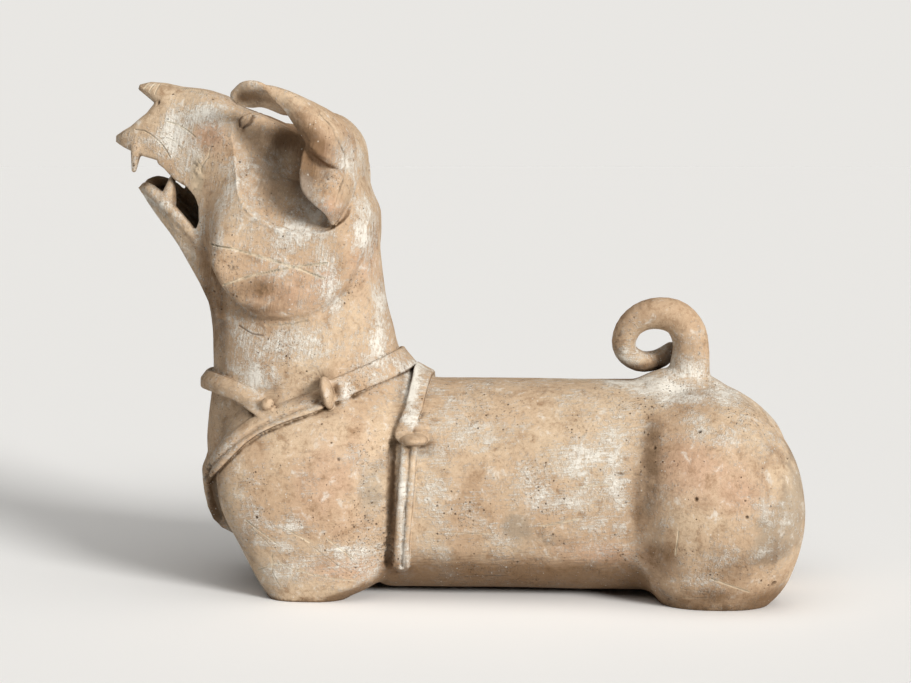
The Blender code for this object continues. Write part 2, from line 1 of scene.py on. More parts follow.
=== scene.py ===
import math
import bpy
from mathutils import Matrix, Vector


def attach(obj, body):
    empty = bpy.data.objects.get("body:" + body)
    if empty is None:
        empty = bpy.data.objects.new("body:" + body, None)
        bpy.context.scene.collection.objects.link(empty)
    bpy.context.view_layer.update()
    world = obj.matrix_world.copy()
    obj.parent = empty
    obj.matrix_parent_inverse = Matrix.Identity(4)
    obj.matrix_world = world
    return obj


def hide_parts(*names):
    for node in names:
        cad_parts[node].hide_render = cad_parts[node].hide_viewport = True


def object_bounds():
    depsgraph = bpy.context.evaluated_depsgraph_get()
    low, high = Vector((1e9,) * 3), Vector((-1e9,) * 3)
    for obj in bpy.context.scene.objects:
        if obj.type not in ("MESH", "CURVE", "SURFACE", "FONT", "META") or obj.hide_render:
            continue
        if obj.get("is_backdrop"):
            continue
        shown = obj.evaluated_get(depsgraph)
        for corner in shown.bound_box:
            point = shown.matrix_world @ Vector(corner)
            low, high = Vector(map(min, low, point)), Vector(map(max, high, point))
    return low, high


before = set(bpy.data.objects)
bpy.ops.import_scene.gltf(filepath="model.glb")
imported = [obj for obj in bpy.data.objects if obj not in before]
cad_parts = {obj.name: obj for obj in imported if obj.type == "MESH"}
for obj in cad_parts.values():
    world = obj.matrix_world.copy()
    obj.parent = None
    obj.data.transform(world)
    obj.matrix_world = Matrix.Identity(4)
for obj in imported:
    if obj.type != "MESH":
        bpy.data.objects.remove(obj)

# Recumbent guard dog in fired clay: the finished surface of the one clay body.
# The form is a field of distances in millimetres of a figure about 548 long.
# It is scaled into the box that the solid fills.
# X runs from muzzle to rump, Z is up, and the side seen in the photo faces -Y.
from concurrent.futures import ThreadPoolExecutor

import bmesh
import bpy
import numpy as np
from mathutils import Vector
from mathutils.bvhtree import BVHTree

cad_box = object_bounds()

# How finely the form is worked out, and the space it is worked out in
GRID_STEP = 1.35
BLOCK_CELLS = 4
CHUNK_PLACES = 150000
DEEP_VALUE = 50.0
WORKERS = 4
FIRST_TRIANGLES = 120000
FINISHED_TRIANGLES = 190000
BOUNDS_LOW = (-290.0, -118.0, -16.0)
BOUNDS_HIGH = (284.0, 118.0, 410.0)
GROUND = -7.0
FAR_AWAY = 1e9
CORE_PROBE = 0.8
CORE_SLOPES = (0.35, 2.0)
SKIN_PROBE = 0.5
LOFT_STATIONS = 120
TAIL_STATIONS = 34
JAW_LIP_STATIONS = 16

# Trunk: half sizes, height of its axis, underside
TRUNK_SPAN = (-70.0, 175.0)
TRUNK_HALF_WIDTH = 82.0
TRUNK_HALF_HEIGHT = 84.0
TRUNK_AXIS_HEIGHT = 77.5
TRUNK_UNDERSIDE = -5.0
UNDERCUT_WIDTH = 60.0
UNDERCUT_HEIGHT = 11.0

# How square each section is: 2 is an ellipse, higher is squarer
TRUNK_SQUARENESS = 2.2
NECK_SQUARENESS = 2.2
SHOULDER_SQUARENESS = 2.6
HAUNCH_SQUARENESS = 2.3
SKULL_SQUARENESS = 3.0

# Widths of the fillets where the clay masses meet
TRUNK_END_FILLET = 20.0
UNDERCUT_FILLET = 2.0
UNDERSIDE_FILLET = 6.0
LOFT_END_FILLET = 10.0
NECK_FILLET = 24.0
SHOULDER_FILLET = 9.0
HAUNCH_FILLET = 12.0
RUMP_FILLET = 14.0
SKULL_FILLET = 14.0
POLL_FILLET = 8.0
CHEEK_FILLET_SPAN = (255.0, 295.0)
CHEEK_FILLETS = (4.0, 26.0)
CHEEK_EDGE_FILLETS = (12.0, 34.0)
MUZZLE_FILLET = 16.0
JAW_FILLET = 8.0
JAW_EDGE_FILLET = 4.0
LIP_EDGE_FILLET = 2.5
ROOF_EDGE_FILLET = 14.5
MOUTH_FILLET = 6.0
SMALL_FILLET = 1.5
LUTED_FILLET = 3.0
GROUND_FILLET = 0.3

# Lofts by height: height, front, back, half width
NECK_LEVELS = (
    (30, -180, -70, 22),
    (45, -192, -60, 34),
    (60, -199.5, -55, 42),
    (80, -203, -45, 50),
    (105, -205, -34, 60),
    (130, -203.5, -32, 65),
    (160, -200, -38, 64),
    (185, -199.5, -50, 62),
    (205, -200, -55, 60),
    (225, -203, -60, 59),
    (255, -211, -65, 59),
    (290, -215, -72, 58),
    (325, -200, -82, 50),
)
SHOULDER_LEVELS = (
    (-20, -140, -98, 66),
    (-7, -149, -84, 73),
    (8, -158, -60, 79),
    (40, -173.5, -49, 88),
    (58, -182, -48, 92),
    (75, -186.5, -47, 94),
    (100, -187, -47, 93),
    (125, -180, -48, 86),
    (150, -160, -56, 72),
)
HAUNCH_LEVELS = (
    (-20, 176, 226, 70),
    (-6, 158, 245, 80),
    (12, 148, 258, 91),
    (39, 141, 267, 102),
    (62, 138, 270, 106),
    (85, 137, 268, 105),
    (105, 140, 263, 98),
    (125, 147, 252, 86),
    (143, 160, 233, 66),
    (157, 178, 207, 42),
)
SHOULDER_INNER = 10.0
HAUNCH_INNER = 6.0
# Beyond these places along the body the far masses aren't worked out
HIND_START = 70.0
FORE_END = 40.0
RUMP_CENTRE = (196.0, 0.0, 84.0)
RUMP_RADII = (62.0, 50.0, 76.0)

# Skull by distance from the muzzle: position, bottom, top, half width
SKULL_LEVELS = (
    (-224, 322, 384, 24),
    (-206, 296, 388, 38),
    (-192, 278, 385, 46),
    (-175, 262, 378, 54),
    (-155, 248, 371, 60),
    (-130, 236, 358, 62),
    (-105, 228, 339, 60),
    (-84, 222, 320, 52),
    (-72, 220, 300, 42),
)
CHEEK_CENTRE = (-132.0, 272.0)
CHEEK_RADIUS = 59.0
CHEEK_HALF_WIDTH = 69.0
CHEEK_SLANT = 0.16
# Dome at the back of the head, by height
POLL_LEVELS = (
    (300, -125, -74, 50),
    (320, -127, -75.5, 53),
    (335, -128, -75, 53),
    (345, -127, -76, 50),
    (354, -125, -79, 46),
    (362, -121, -85, 40),
    (369.5, -116, -92.5, 29),
    (374.5, -111, -100.5, 18),
)
POLL_SQUARENESS = 2.6

# Side outlines, position and height
MUZZLE_OUTLINE = (
    (-258, 392), (-257, 396), (-248, 398), (-236, 397), (-217, 392), (-190, 383),
    (-170, 355), (-175, 300), (-195, 262), (-222, 282), (-234, 306), (-237, 336), (-252, 339),
    (-266, 345), (-276, 350), (-277, 355), (-262, 363), (-249, 373), (-243, 381),
)
JAW_OUTLINE = (
    (-257, 314), (-254, 318), (-246, 319), (-236, 312), (-226, 301), (-206, 281),
    (-190, 240), (-176, 212), (-190, 212), (-204.5, 240), (-212, 253), (-221, 268), (-229, 279),
    (-237.5, 289.5), (-245, 299), (-252, 308),
)
GAPE_OUTLINE = (
    (-300, 350), (-277, 350), (-266, 345), (-252, 339), (-241, 336.5), (-232, 330), (-223, 321),
    (-213, 315), (-207, 308), (-203.5, 299), (-203, 289), (-206, 281), (-226, 301), (-236, 312),
    (-246, 319), (-255, 319), (-262, 312), (-300, 300),
)
MOUTH_INSIDE = (
    (-266, 356), (-246, 359), (-224, 350), (-200, 333), (-182, 308), (-178, 280),
    (-190, 258), (-206, 262), (-222, 284), (-236, 300), (-250, 311), (-262, 318),
)
MUZZLE_PLAN = ((-279, 3), (-275, 16), (-268, 25), (-256, 32), (-240, 36), (-210, 40), (-180, 46))
JAW_PLAN = ((-261, 6), (-257, 18), (-248, 26), (-236, 31), (-220, 36), (-205, 41), (-190, 46))
MUZZLE_ROOF_SPAN = (335.0, 397.0)
MUZZLE_ROOF_NARROWING = 0.5
SIDE_OUTLINE_ROUNDING = 1.5
MOUTH_WALL = 5.5
JAW_LIP_OVERHANG = 6.0
FAR_CORNER = -229.0
FAR_LIP_RISE = 5.0
FAR_LIP_SPAN = (-5.0, 20.0)

# Ear: free edge, crest and rooted edge from the foot to the tip
EAR_FREE_EDGE = (
    (-94, -66, 288), (-97, -80, 297), (-111, -93, 311), (-114, -98, 325), (-112, -97, 340),
    (-109, -91, 349), (-114, -91, 358), (-120, -90, 367), (-126, -88, 375), (-134, -88, 383),
    (-142, -88, 391), (-151, -87, 394), (-160, -83, 393), (-167, -77, 388),
)
EAR_CREST = (
    (-94, -62, 289), (-90, -77, 301), (-93, -84, 315), (-95, -84, 329), (-93, -85, 342),
    (-92, -88, 354), (-99, -88, 366), (-110, -86, 377), (-122, -84, 384.5), (-136, -82, 389),
    (-148, -81, 389), (-157, -80, 388), (-164, -76, 388), (-168, -75, 386),
)
EAR_ROOT_EDGE = (
    (-94, -56, 288), (-86, -57, 303), (-81, -50, 316), (-81, -46, 328), (-81, -46, 340),
    (-82, -44, 351), (-87, -42, 362), (-101, -44, 372), (-117, -54, 374), (-131, -60, 373),
    (-147, -62, 379), (-157, -64, 379), (-165, -68, 381), (-168, -73, 384),
)
# Folded hollow in the ear lobe: it ends sharply on its upper side, along the fold
EAR_SCOOP_CENTRE = (-103.0, 331.0)
EAR_SCOOP_SIZE = (11.0, 18.0)
EAR_SCOOP_DEPTH = 19.0
EAR_FOLD = ((-109.0, 347.0), (-90.0, 331.0))
EAR_FOLD_WIDTH = 3.0
EAR_ROWS = 90
EAR_CELLS = 12
EAR_FOOT_HEIGHT = 288.0
FAR_EAR_LOWERING = 0.72
# Dished hollow under the ear: centre and half sizes in the side plane, rim by height and half width
BOWL_CENTRE = (-118.4, 335.2)
BOWL_HALF_SIZES = (49.0, 55.0)
BOWL_LEAN = 36.0
BOWL_DEPTH = 10.0
BOWL_FALL = 0.12
BOWL_WALL = 32.0
BOWL_RIM_PLANE = ((270, 68), (320, 61), (343, 52), (360, 39), (380, 22))
EAR_PIT = ((-116.0, -47.0, 347.0), (31.0, 34.0, 29.0))
EAR_PIT_FILLET = 6.0
BOWL_SLOPE = 0.85
BOWL_EDGE_HEIGHT = 1.0
BOWL_EDGE_WIDTH = 1.6
EAR_BOX = ((-185, -110, 270), (-60, -25, 410))
EAR_SEARCH_REACH = 30.0

# Tail coil from its root to its tip: the three coordinates and the radius
TAIL_PATH = (
    (180, 0, 145, 20), (182, 0, 166, 17), (183.5, 0, 186, 14.7), (181, 0, 200, 14),
    (173, -1, 210.5, 13.2), (160, -1, 214.5, 12.5), (146, 0, 212.5, 11.3), (135, 2, 204.5, 10),
    (130, 5, 192, 9.2), (133, 9, 181.5, 8.6), (144, 13, 175, 8.2), (157, 18, 176, 7.8),
    (168, 22, 183, 6.8),
)
TAIL_BOX = ((105, -30, 145), (215, 45, 240))
TAIL_ROOT_CENTRE = (173.0, 0.0, 150.0)
TAIL_ROOT_RADII = (34.0, 25.0, 22.0)
TAIL_ROOT_FILLET = 9.0

# Harness: side paths, then widths and how far the straps stand proud
THROAT_STRAP = ((-214, 162), (-192, 161), (-172, 156), (-151, 146))
CHEST_BAND = (
    (-104, 150), (-111, 147), (-123, 143), (-138, 137), (-151, 131), (-164, 122), (-178, 109),
    (-190, 97), (-199, 88), (-206, 80),
)
NAPE_STRAP = ((-97, 157), (-72, 167), (-40, 180))
GIRTH_TOP = ((-30, 182), (-29, 165), (-32, 145), (-39, 126))
GIRTH_SIDE = ((-33, 118), (-34.5, 90), (-37, 60), (-40.5, 22))
KEEL_STRAP = (
    (-202, 98), (-205, 88), (-205.5, 78), (-204.5, 68), (-202, 57), (-198, 48), (-192, 42), (-184, 38),
)
KEEL_STRAP_HALF_WIDTH = 8.5
KEEL_STRAP_THICKNESS = 7.0
KEEL_STRAP_ROUNDING = 2.5
THROAT_WIDTH = 14.0
NAPE_WIDTH = 17.0
GIRTH_WIDTH = 13.0
THROAT_HEIGHTS = (10.0, 6.0)
THROAT_HEIGHT_SPAN = (-205.0, -150.0)
NAPE_HEIGHT = 5.0
GIRTH_HEIGHT = 6.0
RIB_HEIGHT = 5.5
# Toggles: centre, then half sizes along X, Y and Z
KNOBS = (
    ((-144, -76, 148), (5.8, 6.5, 5.8)),
    ((-98, -72, 157), (4.5, 14.0, 13.0)),
    ((-30, -77, 122), (10.5, 14.0, 4.5)),
)

# Teeth: root, point, root radius, point radius
TEETH = (
    ((-255, -28, 345), (-257, -29, 328), 5.0, 2.2),
    ((-230, -31, 303), (-226, -30, 321.5), 7.0, 2.2),
)
# Rolled lip of the lower jaw, from the chin back to the corner of the mouth
JAW_LIP = (
    (-252, -9, 313), (-248, -20, 313), (-243, -27, 311), (-235, -32, 305), (-226, -35.5, 296.5),
    (-216, -38.5, 286.5), (-207, -41, 277), (-199, -43, 269),
)
JAW_LIP_RADIUS = 4.8
TEETH_BOX = ((-280, -60, 250), (-180, 10, 360))

# Clay luted under two toggles: centre, half sizes, lean in degrees
COLLARS = (
    ((-87, -65, 155), (6.0, 5.0, 9.5), 12.0),
    ((-29, -66, 129), (9.0, 5.5, 5.0), 0.0),
)
TOGGLE_LEANS = (0.0, 14.0, 0.0)
CHEST_RIBS = (9.5, 5.5)
GIRTH_RIBS = (7.5, 5.5)
RIB_GROOVE_FILLET = 1.5
RIB_SQUARENESS = 2.6
STRAP_ROUNDING = 1.1
STRAP_FILLET = 0.8
STRAP_CROWN = 0.9
THROAT_BEVEL = 4.0
EAR_THICKNESS = ((0.0, 2.0), (0.25, 2.7), (1.0, 3.2))

# Carved and scratched lines: side path, half width, depth, how chalky, and on which sides
CUTS = (
    (((-192, 272), (-169, 268), (-143, 260), (-124, 254), (-101, 245)), 0.6, 1.3, 0.7, "near"),
    (((-178, 240), (-158, 247), (-140, 251), (-124, 254), (-99, 257)), 0.6, 1.2, 0.6, "near"),
    (((-256, 360), (-248, 359), (-241, 355), (-236, 351), (-231, 346), (-226, 338)),
     0.5, 0.7, 0.25, "both"),
    (((-229, 366), (-221, 364), (-212, 359), (-205, 354)), 0.45, 0.6, 0.6, "near"),
    (((-228, 353), (-221, 350), (-216, 344)), 0.5, 0.3, 0.2, "near"),
    (((-192, 346), (-194, 338), (-201, 329)), 0.5, 0.4, 0.3, "near"),
    (((-169, 362), (-169, 367), (-167, 371), (-163, 376)), 0.8, 1.6, 0.0, "both"),
    (((-167, 361), (-163, 365), (-161, 370), (-160, 375)), 0.8, 1.4, 0.0, "both"),
    (((-100, 372), (-90, 361), (-83, 340), (-83, 328), (-88, 305), (-92, 288)), 0.6, 0.6, 0.1, "near"),
    (((-170, 207), (-159, 201), (-150, 200)), 0.7, 0.5, 0.0, "near"),
    (((-147, 208), (-127, 209), (-115, 212)), 0.8, 0.5, 0.2, "near"),
    (((-154, 17), (-137, 25), (-120, 20), (-108, 16), (-92, 13), (-76, 11)), 0.35, 0.3, 0.6, "near"),
    (((-140, 33), (-141, 17), (-135, 4)), 0.35, 0.3, 0.4, "near"),
    (((-160, 59), (-148, 50), (-136, 41)), 0.4, 0.4, 0.6, "near"),
    (((-156, 53), (-150, 47), (-142, 40)), 0.35, 0.3, 0.4, "near"),
    (((-130, 55), (-120, 49), (-110, 43)), 0.4, 0.3, 0.5, "near"),
    (((-97, 47), (-88, 39), (-77, 30)), 0.4, 0.3, 0.6, "near"),
    (((-107, 39), (-91, 26), (-75, 14)), 0.4, 0.3, 0.1, "near"),
    (((70, 57), (84, 60), (98, 63)), 0.4, 0.25, 0.6, "near"),
    (((94, 86), (106, 89), (118, 90)), 0.35, 0.25, 0.6, "near"),
    (((-5, 50), (12, 50), (31, 50)), 0.35, 0.25, 0.35, "near"),
    (((197, 21), (207, 17), (226, 10)), 0.5, 0.4, 0.5, "near"),
    (((177, 10), (195, 9)), 0.45, 0.3, 0.1, "near"),
    (((177, 3), (195, 4)), 0.45, 0.3, 0.1, "near"),
    (((172, 58), (170, 39)), 0.4, 0.3, 0.5, "near"),
    (((-251, 392), (-248, 397)), 0.5, 0.5, 0.6, "both"),
    (((-246, 390), (-243, 396)), 0.5, 0.5, 0.6, "both"),
    (((-241, 388), (-239, 395)), 0.5, 0.5, 0.4, "both"),
)
# Open joint where the shoulder was luted on behind the girth straps: side path, half width, depth
SHOULDER_JOINT = ((-47, 119), (-47.5, 90), (-49, 60), (-51.5, 22))
JOINT_HALF_WIDTH = 3.0
JOINT_DEPTH = 4.0
JOINT_RAGGED = 1.1
JOINT_LUMPS = ((2.6, 1.0, 17), (6.0, 0.6, 19))
JOINT_SIDE = -40.0
# Short strokes in a row along the ridge of the muzzle
HATCH_PATH = ((-222, 394), (-211, 391.5), (-199, 387.5))
HATCH_COUNT = 15
HATCH_LENGTH = 1.5
HATCH_WIDTH = 0.4
HATCH_DEPTH = 0.25
HATCH_SLANT = 0.8
HATCH_CHALK = 0.2
LINE_BURR = 0.22
LINE_GRAIN = (5.0, 61)
# Pinholes and the nostrils: place, radius, depth
PINHOLES = (
    ((188, -79, 131), 1.6, 2.2), ((185, -104, 83), 1.5, 2.2), ((245, -81, 15), 2.2, 2.5),
    ((223, -105, 70), 1.2, 1.5), ((128, -80, 98), 1.2, 1.2), ((154, -79, 118), 1.3, 1.2),
    ((126, -4, 187), 1.6, 1.5), ((-151, -89, 62), 1.2, 1.4), ((-87, -90, 108), 1.2, 1.0),
    ((-159, -34, 377), 1.8, 2.5), ((-159, 34, 377), 1.8, 2.5),
    ((-238, -23, 381), 1.7, 1.4), ((-238, 23, 381), 1.7, 1.4),
)
REFINEMENT_PASSES = 5
REFINED_EDGE = 0.75
REFINED_GROWTH = 0.6
REFINED_START = 1.2

# Hand-made unevenness of the skin: size of the swells, their height, seed
SURFACE_SWELLS = ((46.0, 0.7, 3), (17.0, 0.3, 5), (7.0, 0.12, 8))
CORNER_CRUST = (-204, 323, 5, 15, 1.2)
CRUST_HEIGHT = 2.0
CRUST_SINK = 0.2
CRUST_LUMP = (2.2, 41)
RESTING_HEIGHT = 3.0
MOUTH_MASK_HALF_WIDTH = 38.0
UPRIGHT_STROKES_FROM = (150.0, 40.0)
UPRIGHT_STROKES_REAR = (140.0, 30.0, 0.6)
# Reaches of the probes that find hollows, for the painted shade in creases and hollows
HOLLOW_REACHES = (3.0, 16.0)
EDGE_REACH = 4.0
# Faces that look down, below about this height, get painted shade mixed with soil
UNDERSIDE_TOP = 45.0
# Painted shade inside the mouth: where it starts and how far back it grows to full
MOUTH_SHADE_START = -222.0
MOUTH_SHADE_RUN = 28.0
FOOT_FLATTEN = 0.0005
FAR_PATCH_SHIFT = (31.0, -17.0)
PATCH_FALL = 0.8

# Soft patches on the skin: position, height, half sizes, strength
CHALK = (
    (125, 95, 11, 42, 0.8), (105, 112, 32, 11, 0.5), (82, 78, 40, 8, 0.5), (67, 100, 48, 16, 0.45),
    (182, 171, 20, 10, 0.7), (165, 158, 24, 8, 0.7), (143, 162, 24, 5, 0.7), (133, 184, 10, 11, 0.5),
    (-154, 165, 18, 6, 1.0), (-173, 170, 20, 4, 0.9), (-34, 154, 6, 24, 0.8), (-34, 136, 10, 4, 0.8),
    (-39, 69, 4, 48, 0.9), (-83, 158, 6, 9, 0.5), (-63, 177, 16, 6, 0.5), (-63, 210, 6, 48, 0.7),
    (-73, 274, 8, 32, 0.7), (-119, 286, 28, 20, 0.75), (-164, 305, 16, 24, 0.5), (-97, 236, 8, 24, 0.7),
    (-201, 371, 22, 8, 0.7), (-222, 359, 14, 13, 0.7), (-205, 344, 12, 12, 0.5), (-114, 313, 8, 14, 0.9),
    (-84, 335, 8, 16, 0.9), (-116, 107, 8, 3, 0.6), (-120, 57, 18, 6, 0.8), (-141, 40, 14, 5, 0.7),
    (-86, 37, 16, 6, 0.7), (-134, 15, 14, 8, 0.6), (-6, 114, 20, 28, 0.5), (-13, 76, 12, 32, 0.5),
    (21, 122, 24, 16, 0.4), (205, 154, 32, 10, 0.6), (188, 132, 12, 16, 0.7), (203, 126, 16, 6, 0.6),
    (158, 58, 8, 12, 0.5), (240, 80, 14, 10, 0.25), (-169, 204, 24, 16, 0.35), (-232, 300, 6, 3, 0.5),
    (-120, 193, 40, 12, 0.5), (-183, 278, 8, 16, 0.4),
)
GREY = (
    (260, 73, 16, 36, 0.8), (241, 52, 20, 24, 0.7), (48, 53, 14, 24, 0.6), (-63, 84, 13, 24, 0.6),
    (151, 102, 10, 40, 0.5), (128, 30, 12, 20, 0.4), (-140, 326, 24, 44, 0.45), (64, 44, 22, 12, 0.45),
)
# Dark stains on the skin; the long patch down the breast beside the keel strap is painted shade
DARK_STAINS_AND_SHADE = (
    (-171, 253, 10, 6, 0.6), (-148, 235, 11, 4, 0.8), (126, 194, 5, 16, 0.6), (190, 191, 6, 20, 0.5),
    (151, 116, 11, 32, 0.4), (-169, 211, 16, 8, 0.3), (-197, 66, 7, 34, 1.3), (-150, 238, 22, 5, 0.4),
)
PINK = (
    (-93, 92, 32, 48, 0.5), (-83, 20, 40, 12, 0.6), (188, 104, 40, 24, 0.6), (218, 90, 24, 20, 0.6),
    (-100, 344, 16, 16, 0.6), (-192, 355, 16, 12, 0.8), (-127, 236, 32, 20, 0.6), (-100, 244, 8, 8, 0.8),
    (-94, 298, 10, 10, 0.7), (113, 34, 32, 10, 0.7), (-72, 250, 12, 32, 0.5),
)
# Brown burial soil and painted shade: soil left in hollows and along the lower edges, painted shadow under
# the ear flap on its bowl and in the creases beside the girth and breast straps
SOIL_AND_SHADE = (
    (152, 109, 10, 48, 0.8), (143, 79, 6, 48, 0.6), (162, 34, 18, 24, 0.7), (201, 5, 36, 11, 0.8),
    (241, 36, 14, 32, 0.5), (-128, 355, 20, 13, 1.2), (-112, 346, 20, 16, 1.3), (-155, 384, 14, 6, 0.9),
    (-185, 210, 6, 48, 0.7), (-197, 258, 6, 32, 0.7), (-47, 76, 4, 56, 1.0), (-43, 150, 4, 32, 0.6),
    (-148, 222, 27, 6, 0.7), (-172, 236, 8, 18, 0.6), (-183, 267, 5, 20, 0.5), (-175, 369, 8, 6, 0.5),
    (-189, 351, 11, 8, 0.5), (-164, 259, 13, 5, 0.4), (-127, 242, 24, 6, 0.4), (-201, 62, 6, 32, 0.9),
    (-188, 61, 5, 24, 1.3), (-185, 131, 8, 13, 0.5), (-119, 153, 13, 6, 0.5), (-100, 153, 3, 8, 0.6),
    (35, 8, 72, 5, 0.9), (113, 7, 48, 6, 0.9), (-27, 12, 32, 4, 0.6), (-96, 4, 48, 5, 0.4),
    (215, 30, 40, 26, 0.55), (160, 60, 18, 50, 0.4), (238, 96, 24, 50, 0.45), (-157, 43, 5, 40, 0.5),
    (-195, 225, 8, 44, 0.8), (127, 189, 5, 16, 0.5), (150, 188, 14, 5, 0.8), (182, 179, 14, 8, 0.3),
    (-85, 100, 32, 24, 0.25), (82, 42, 24, 10, 0.3), (-150, 238, 28, 12, 0.8), (-132, 228, 30, 7, 0.6),
    (-116, 330, 15, 34, 1.2), (-148, 332, 22, 42, 0.45), (-130, 300, 24, 14, 0.3), (-103, 336, 8, 12, 0.4),
)
# Bare clay, where no chalk has stayed
BARE = (
    (-96, 356, 16, 26, 1.0), (-125, 380, 26, 10, 1.0), (-88, 320, 8, 30, 0.6), (-96, 159, 4, 14, 1.2),
    (-28, 122, 11, 5, 1.2), (-143, 148, 7, 6, 0.8), (-100, 80, 36, 34, 0.5), (190, 100, 36, 34, 0.5),
    (-235, 385, 24, 10, 0.6), (40, 110, 50, 30, 0.3), (-72, 240, 14, 40, 0.4), (182, 225, 40, 20, 0.5),
)
PATCHES = {"chalk": CHALK, "grey": GREY, "stain_and_shade": DARK_STAINS_AND_SHADE, "pink": PINK, "soil_and_shade": SOIL_AND_SHADE, "bare": BARE}

CLAY_BUFF = (0.53, 0.405, 0.28, 1.0)
CLAY_TAN = (0.45, 0.315, 0.205, 1.0)
CLAY_PINK = (0.50, 0.315, 0.215, 1.0)
CLAY_BROWN = (0.26, 0.16, 0.088, 1.0)
CLAY_GREY = (0.27, 0.225, 0.17, 1.0)
CHALK_COLOUR = (0.68, 0.655, 0.595, 1.0)
# Several colours below also paint shade: the stain colour beside the breast strap, the crevice colour in
# tight creases, the soil colour in hollows, undersides and cast shadows, the pit colour in pits and
# grooves, and the mouth colour inside the mouth
STAIN_AND_SHADE_COLOUR = (0.11, 0.08, 0.05, 1.0)
CREVICE_SHADE_COLOUR = (0.07, 0.035, 0.012, 1.0)
SOIL_AND_SHADE_COLOUR = (0.13, 0.07, 0.03, 1.0)
PIT_SHADE_COLOUR = (0.09, 0.055, 0.03, 1.0)
LINE_FILL_COLOUR = (0.74, 0.66, 0.50, 1.0)
CRUST_COLOUR = (0.50, 0.40, 0.28, 1.0)
MOUTH_SHADE_COLOUR = (0.010, 0.008, 0.006, 1.0)

# Camera and studio, in metres
CAMERA_PLACE = (0.1324, -1.6879, 0.352)
CAMERA_AIM = (-0.0009, 0.0, 0.198)
CAMERA_LENS = 83.97
# Each light: name, where it comes from, strength, spread in degrees
LIGHTS = (
    ("key light", (0.71, -0.73, 0.36), 3.9, 18.0),
    ("top light", (0.05, -0.40, 0.90), 1.6, 80.0),
)
LIGHT_COLOUR = (1.0, 0.985, 0.955)
FILL_LIGHT = 0.055
FILL_COLOUR = (1.0, 0.93, 0.84)
FLOOR_SHADE = 0.87
FLOOR_RADIUS = 40.0
FLOOR_SIDES = 96
FLOOR_GAP = 0.0002


def blend(first, second, soft):
    """Union of two fields, with a fillet about as wide as soft."""
    share = np.clip(0.5 + 0.5 * (second - first) / soft, 0.0, 1.0)
    return second + (first - second) * share - soft * share * (1.0 - share)


def cut(first, second, soft):
    """What is left of the first field outside the second."""
    return -blend(-first, second, soft)


def common(first, second, soft):
    """What lies in both fields."""
    return -blend(-first, -second, soft)


def smooth_curve(points, count):
    """Catmull-Rom curve through rows of numbers, sampled at count places."""
    rows = np.asarray(points, float)
    padded = np.vstack([2 * rows[0] - rows[1], rows, 2 * rows[-1] - rows[-2]])
    place = np.linspace(0.0, len(rows) - 1.0, count)
    start = np.minimum(place.astype(int), len(rows) - 2)
    t = (place - start)[:, None]
    before, here, there, after = (padded[start + shift] for shift in range(4))
    return 0.5 * (2 * here + (there - before) * t
                  + (2 * before - 5 * here + 4 * there - after) * t ** 2
                  + (3 * here - before - 3 * there + after) * t ** 3)


def oval(across, side, half_across, half_side, power):
    """Near distance to an oval; a higher power gives squarer corners."""
    a = np.abs(across) / half_across
    b = np.abs(side) / half_side
    reach = np.maximum((a ** power + b ** power) ** (1.0 / power), 1e-3)
    slope = np.hypot(a ** (power - 1) / half_across, b ** (power - 1) / half_side)
    slope = slope * reach ** (1 - power)
    return (reach - 1.0) / np.maximum(slope, 1e-4)


def loft(along, across, side, levels, power, inner=None):
    """Oval sections strung along one axis; with inner, each starts that far from the mid plane."""
    table = smooth_curve(levels, LOFT_STATIONS)
    low, high, half = (np.interp(along, table[:, 0], table[:, k]) for k in (1, 2, 3))
    if inner is None:
        body = oval(across - (low + high) / 2, side, (high - low) / 2, half, power)
    else:
        body = oval(across - (low + high) / 2, np.abs(side) - (half + inner) / 2,
                    (high - low) / 2, (half - inner) / 2, power)
    ends = np.maximum(levels[0][0] - along, along - levels[-1][0])
    return common(body, ends, LOFT_END_FILLET)


def ellipsoid(x, y, z, centre, radii, lean=0.0):
    """Near distance to an ellipsoid leaned in the side plane by degrees."""
    u, w = leaned(x, z, (centre[0], centre[2]), lean)
    v = y - centre[1]
    reach = np.sqrt((u / radii[0]) ** 2 + (v / radii[1]) ** 2 + (w / radii[2]) ** 2)
    slope = np.sqrt((u / radii[0] ** 2) ** 2 + (v / radii[1] ** 2) ** 2 + (w / radii[2] ** 2) ** 2)
    return reach * (reach - 1.0) / np.maximum(slope, 1e-4)


def stretch_gap(x, z, start, end):
    """Squared distance to one straight stretch, its run, and the way to each place from its start."""
    ex, ez = end[0] - start[0], end[1] - start[1]
    px, pz = x - start[0], z - start[1]
    t = np.clip((px * ex + pz * ez) / (ex * ex + ez * ez), 0.0, 1.0)
    return (px - t * ex) ** 2 + (pz - t * ez) ** 2, ex, ez, px, pz


def outline_distance(x, z, outline):
    """Signed distance to a closed outline in the side plane."""
    nearest = np.full(x.shape, FAR_AWAY, x.dtype)
    inside = np.zeros(x.shape, bool)
    for start, end in zip(outline[-1:] + outline[:-1], outline):
        gap, ex, ez, px, pz = stretch_gap(x, z, start, end)
        nearest = np.minimum(nearest, gap)
        if ez != 0:
            inside ^= ((pz >= 0) != (pz - ez >= 0)) & (px < ex * pz / ez)
    return np.where(inside, -1.0, 1.0) * np.sqrt(nearest)


def path_distance(x, z, path):
    """Distance in the side plane to an open path."""
    nearest = np.full(x.shape, FAR_AWAY, x.dtype)
    for start, end in zip(path[:-1], path[1:]):
        nearest = np.minimum(nearest, stretch_gap(x, z, start, end)[0])
    return np.sqrt(nearest)


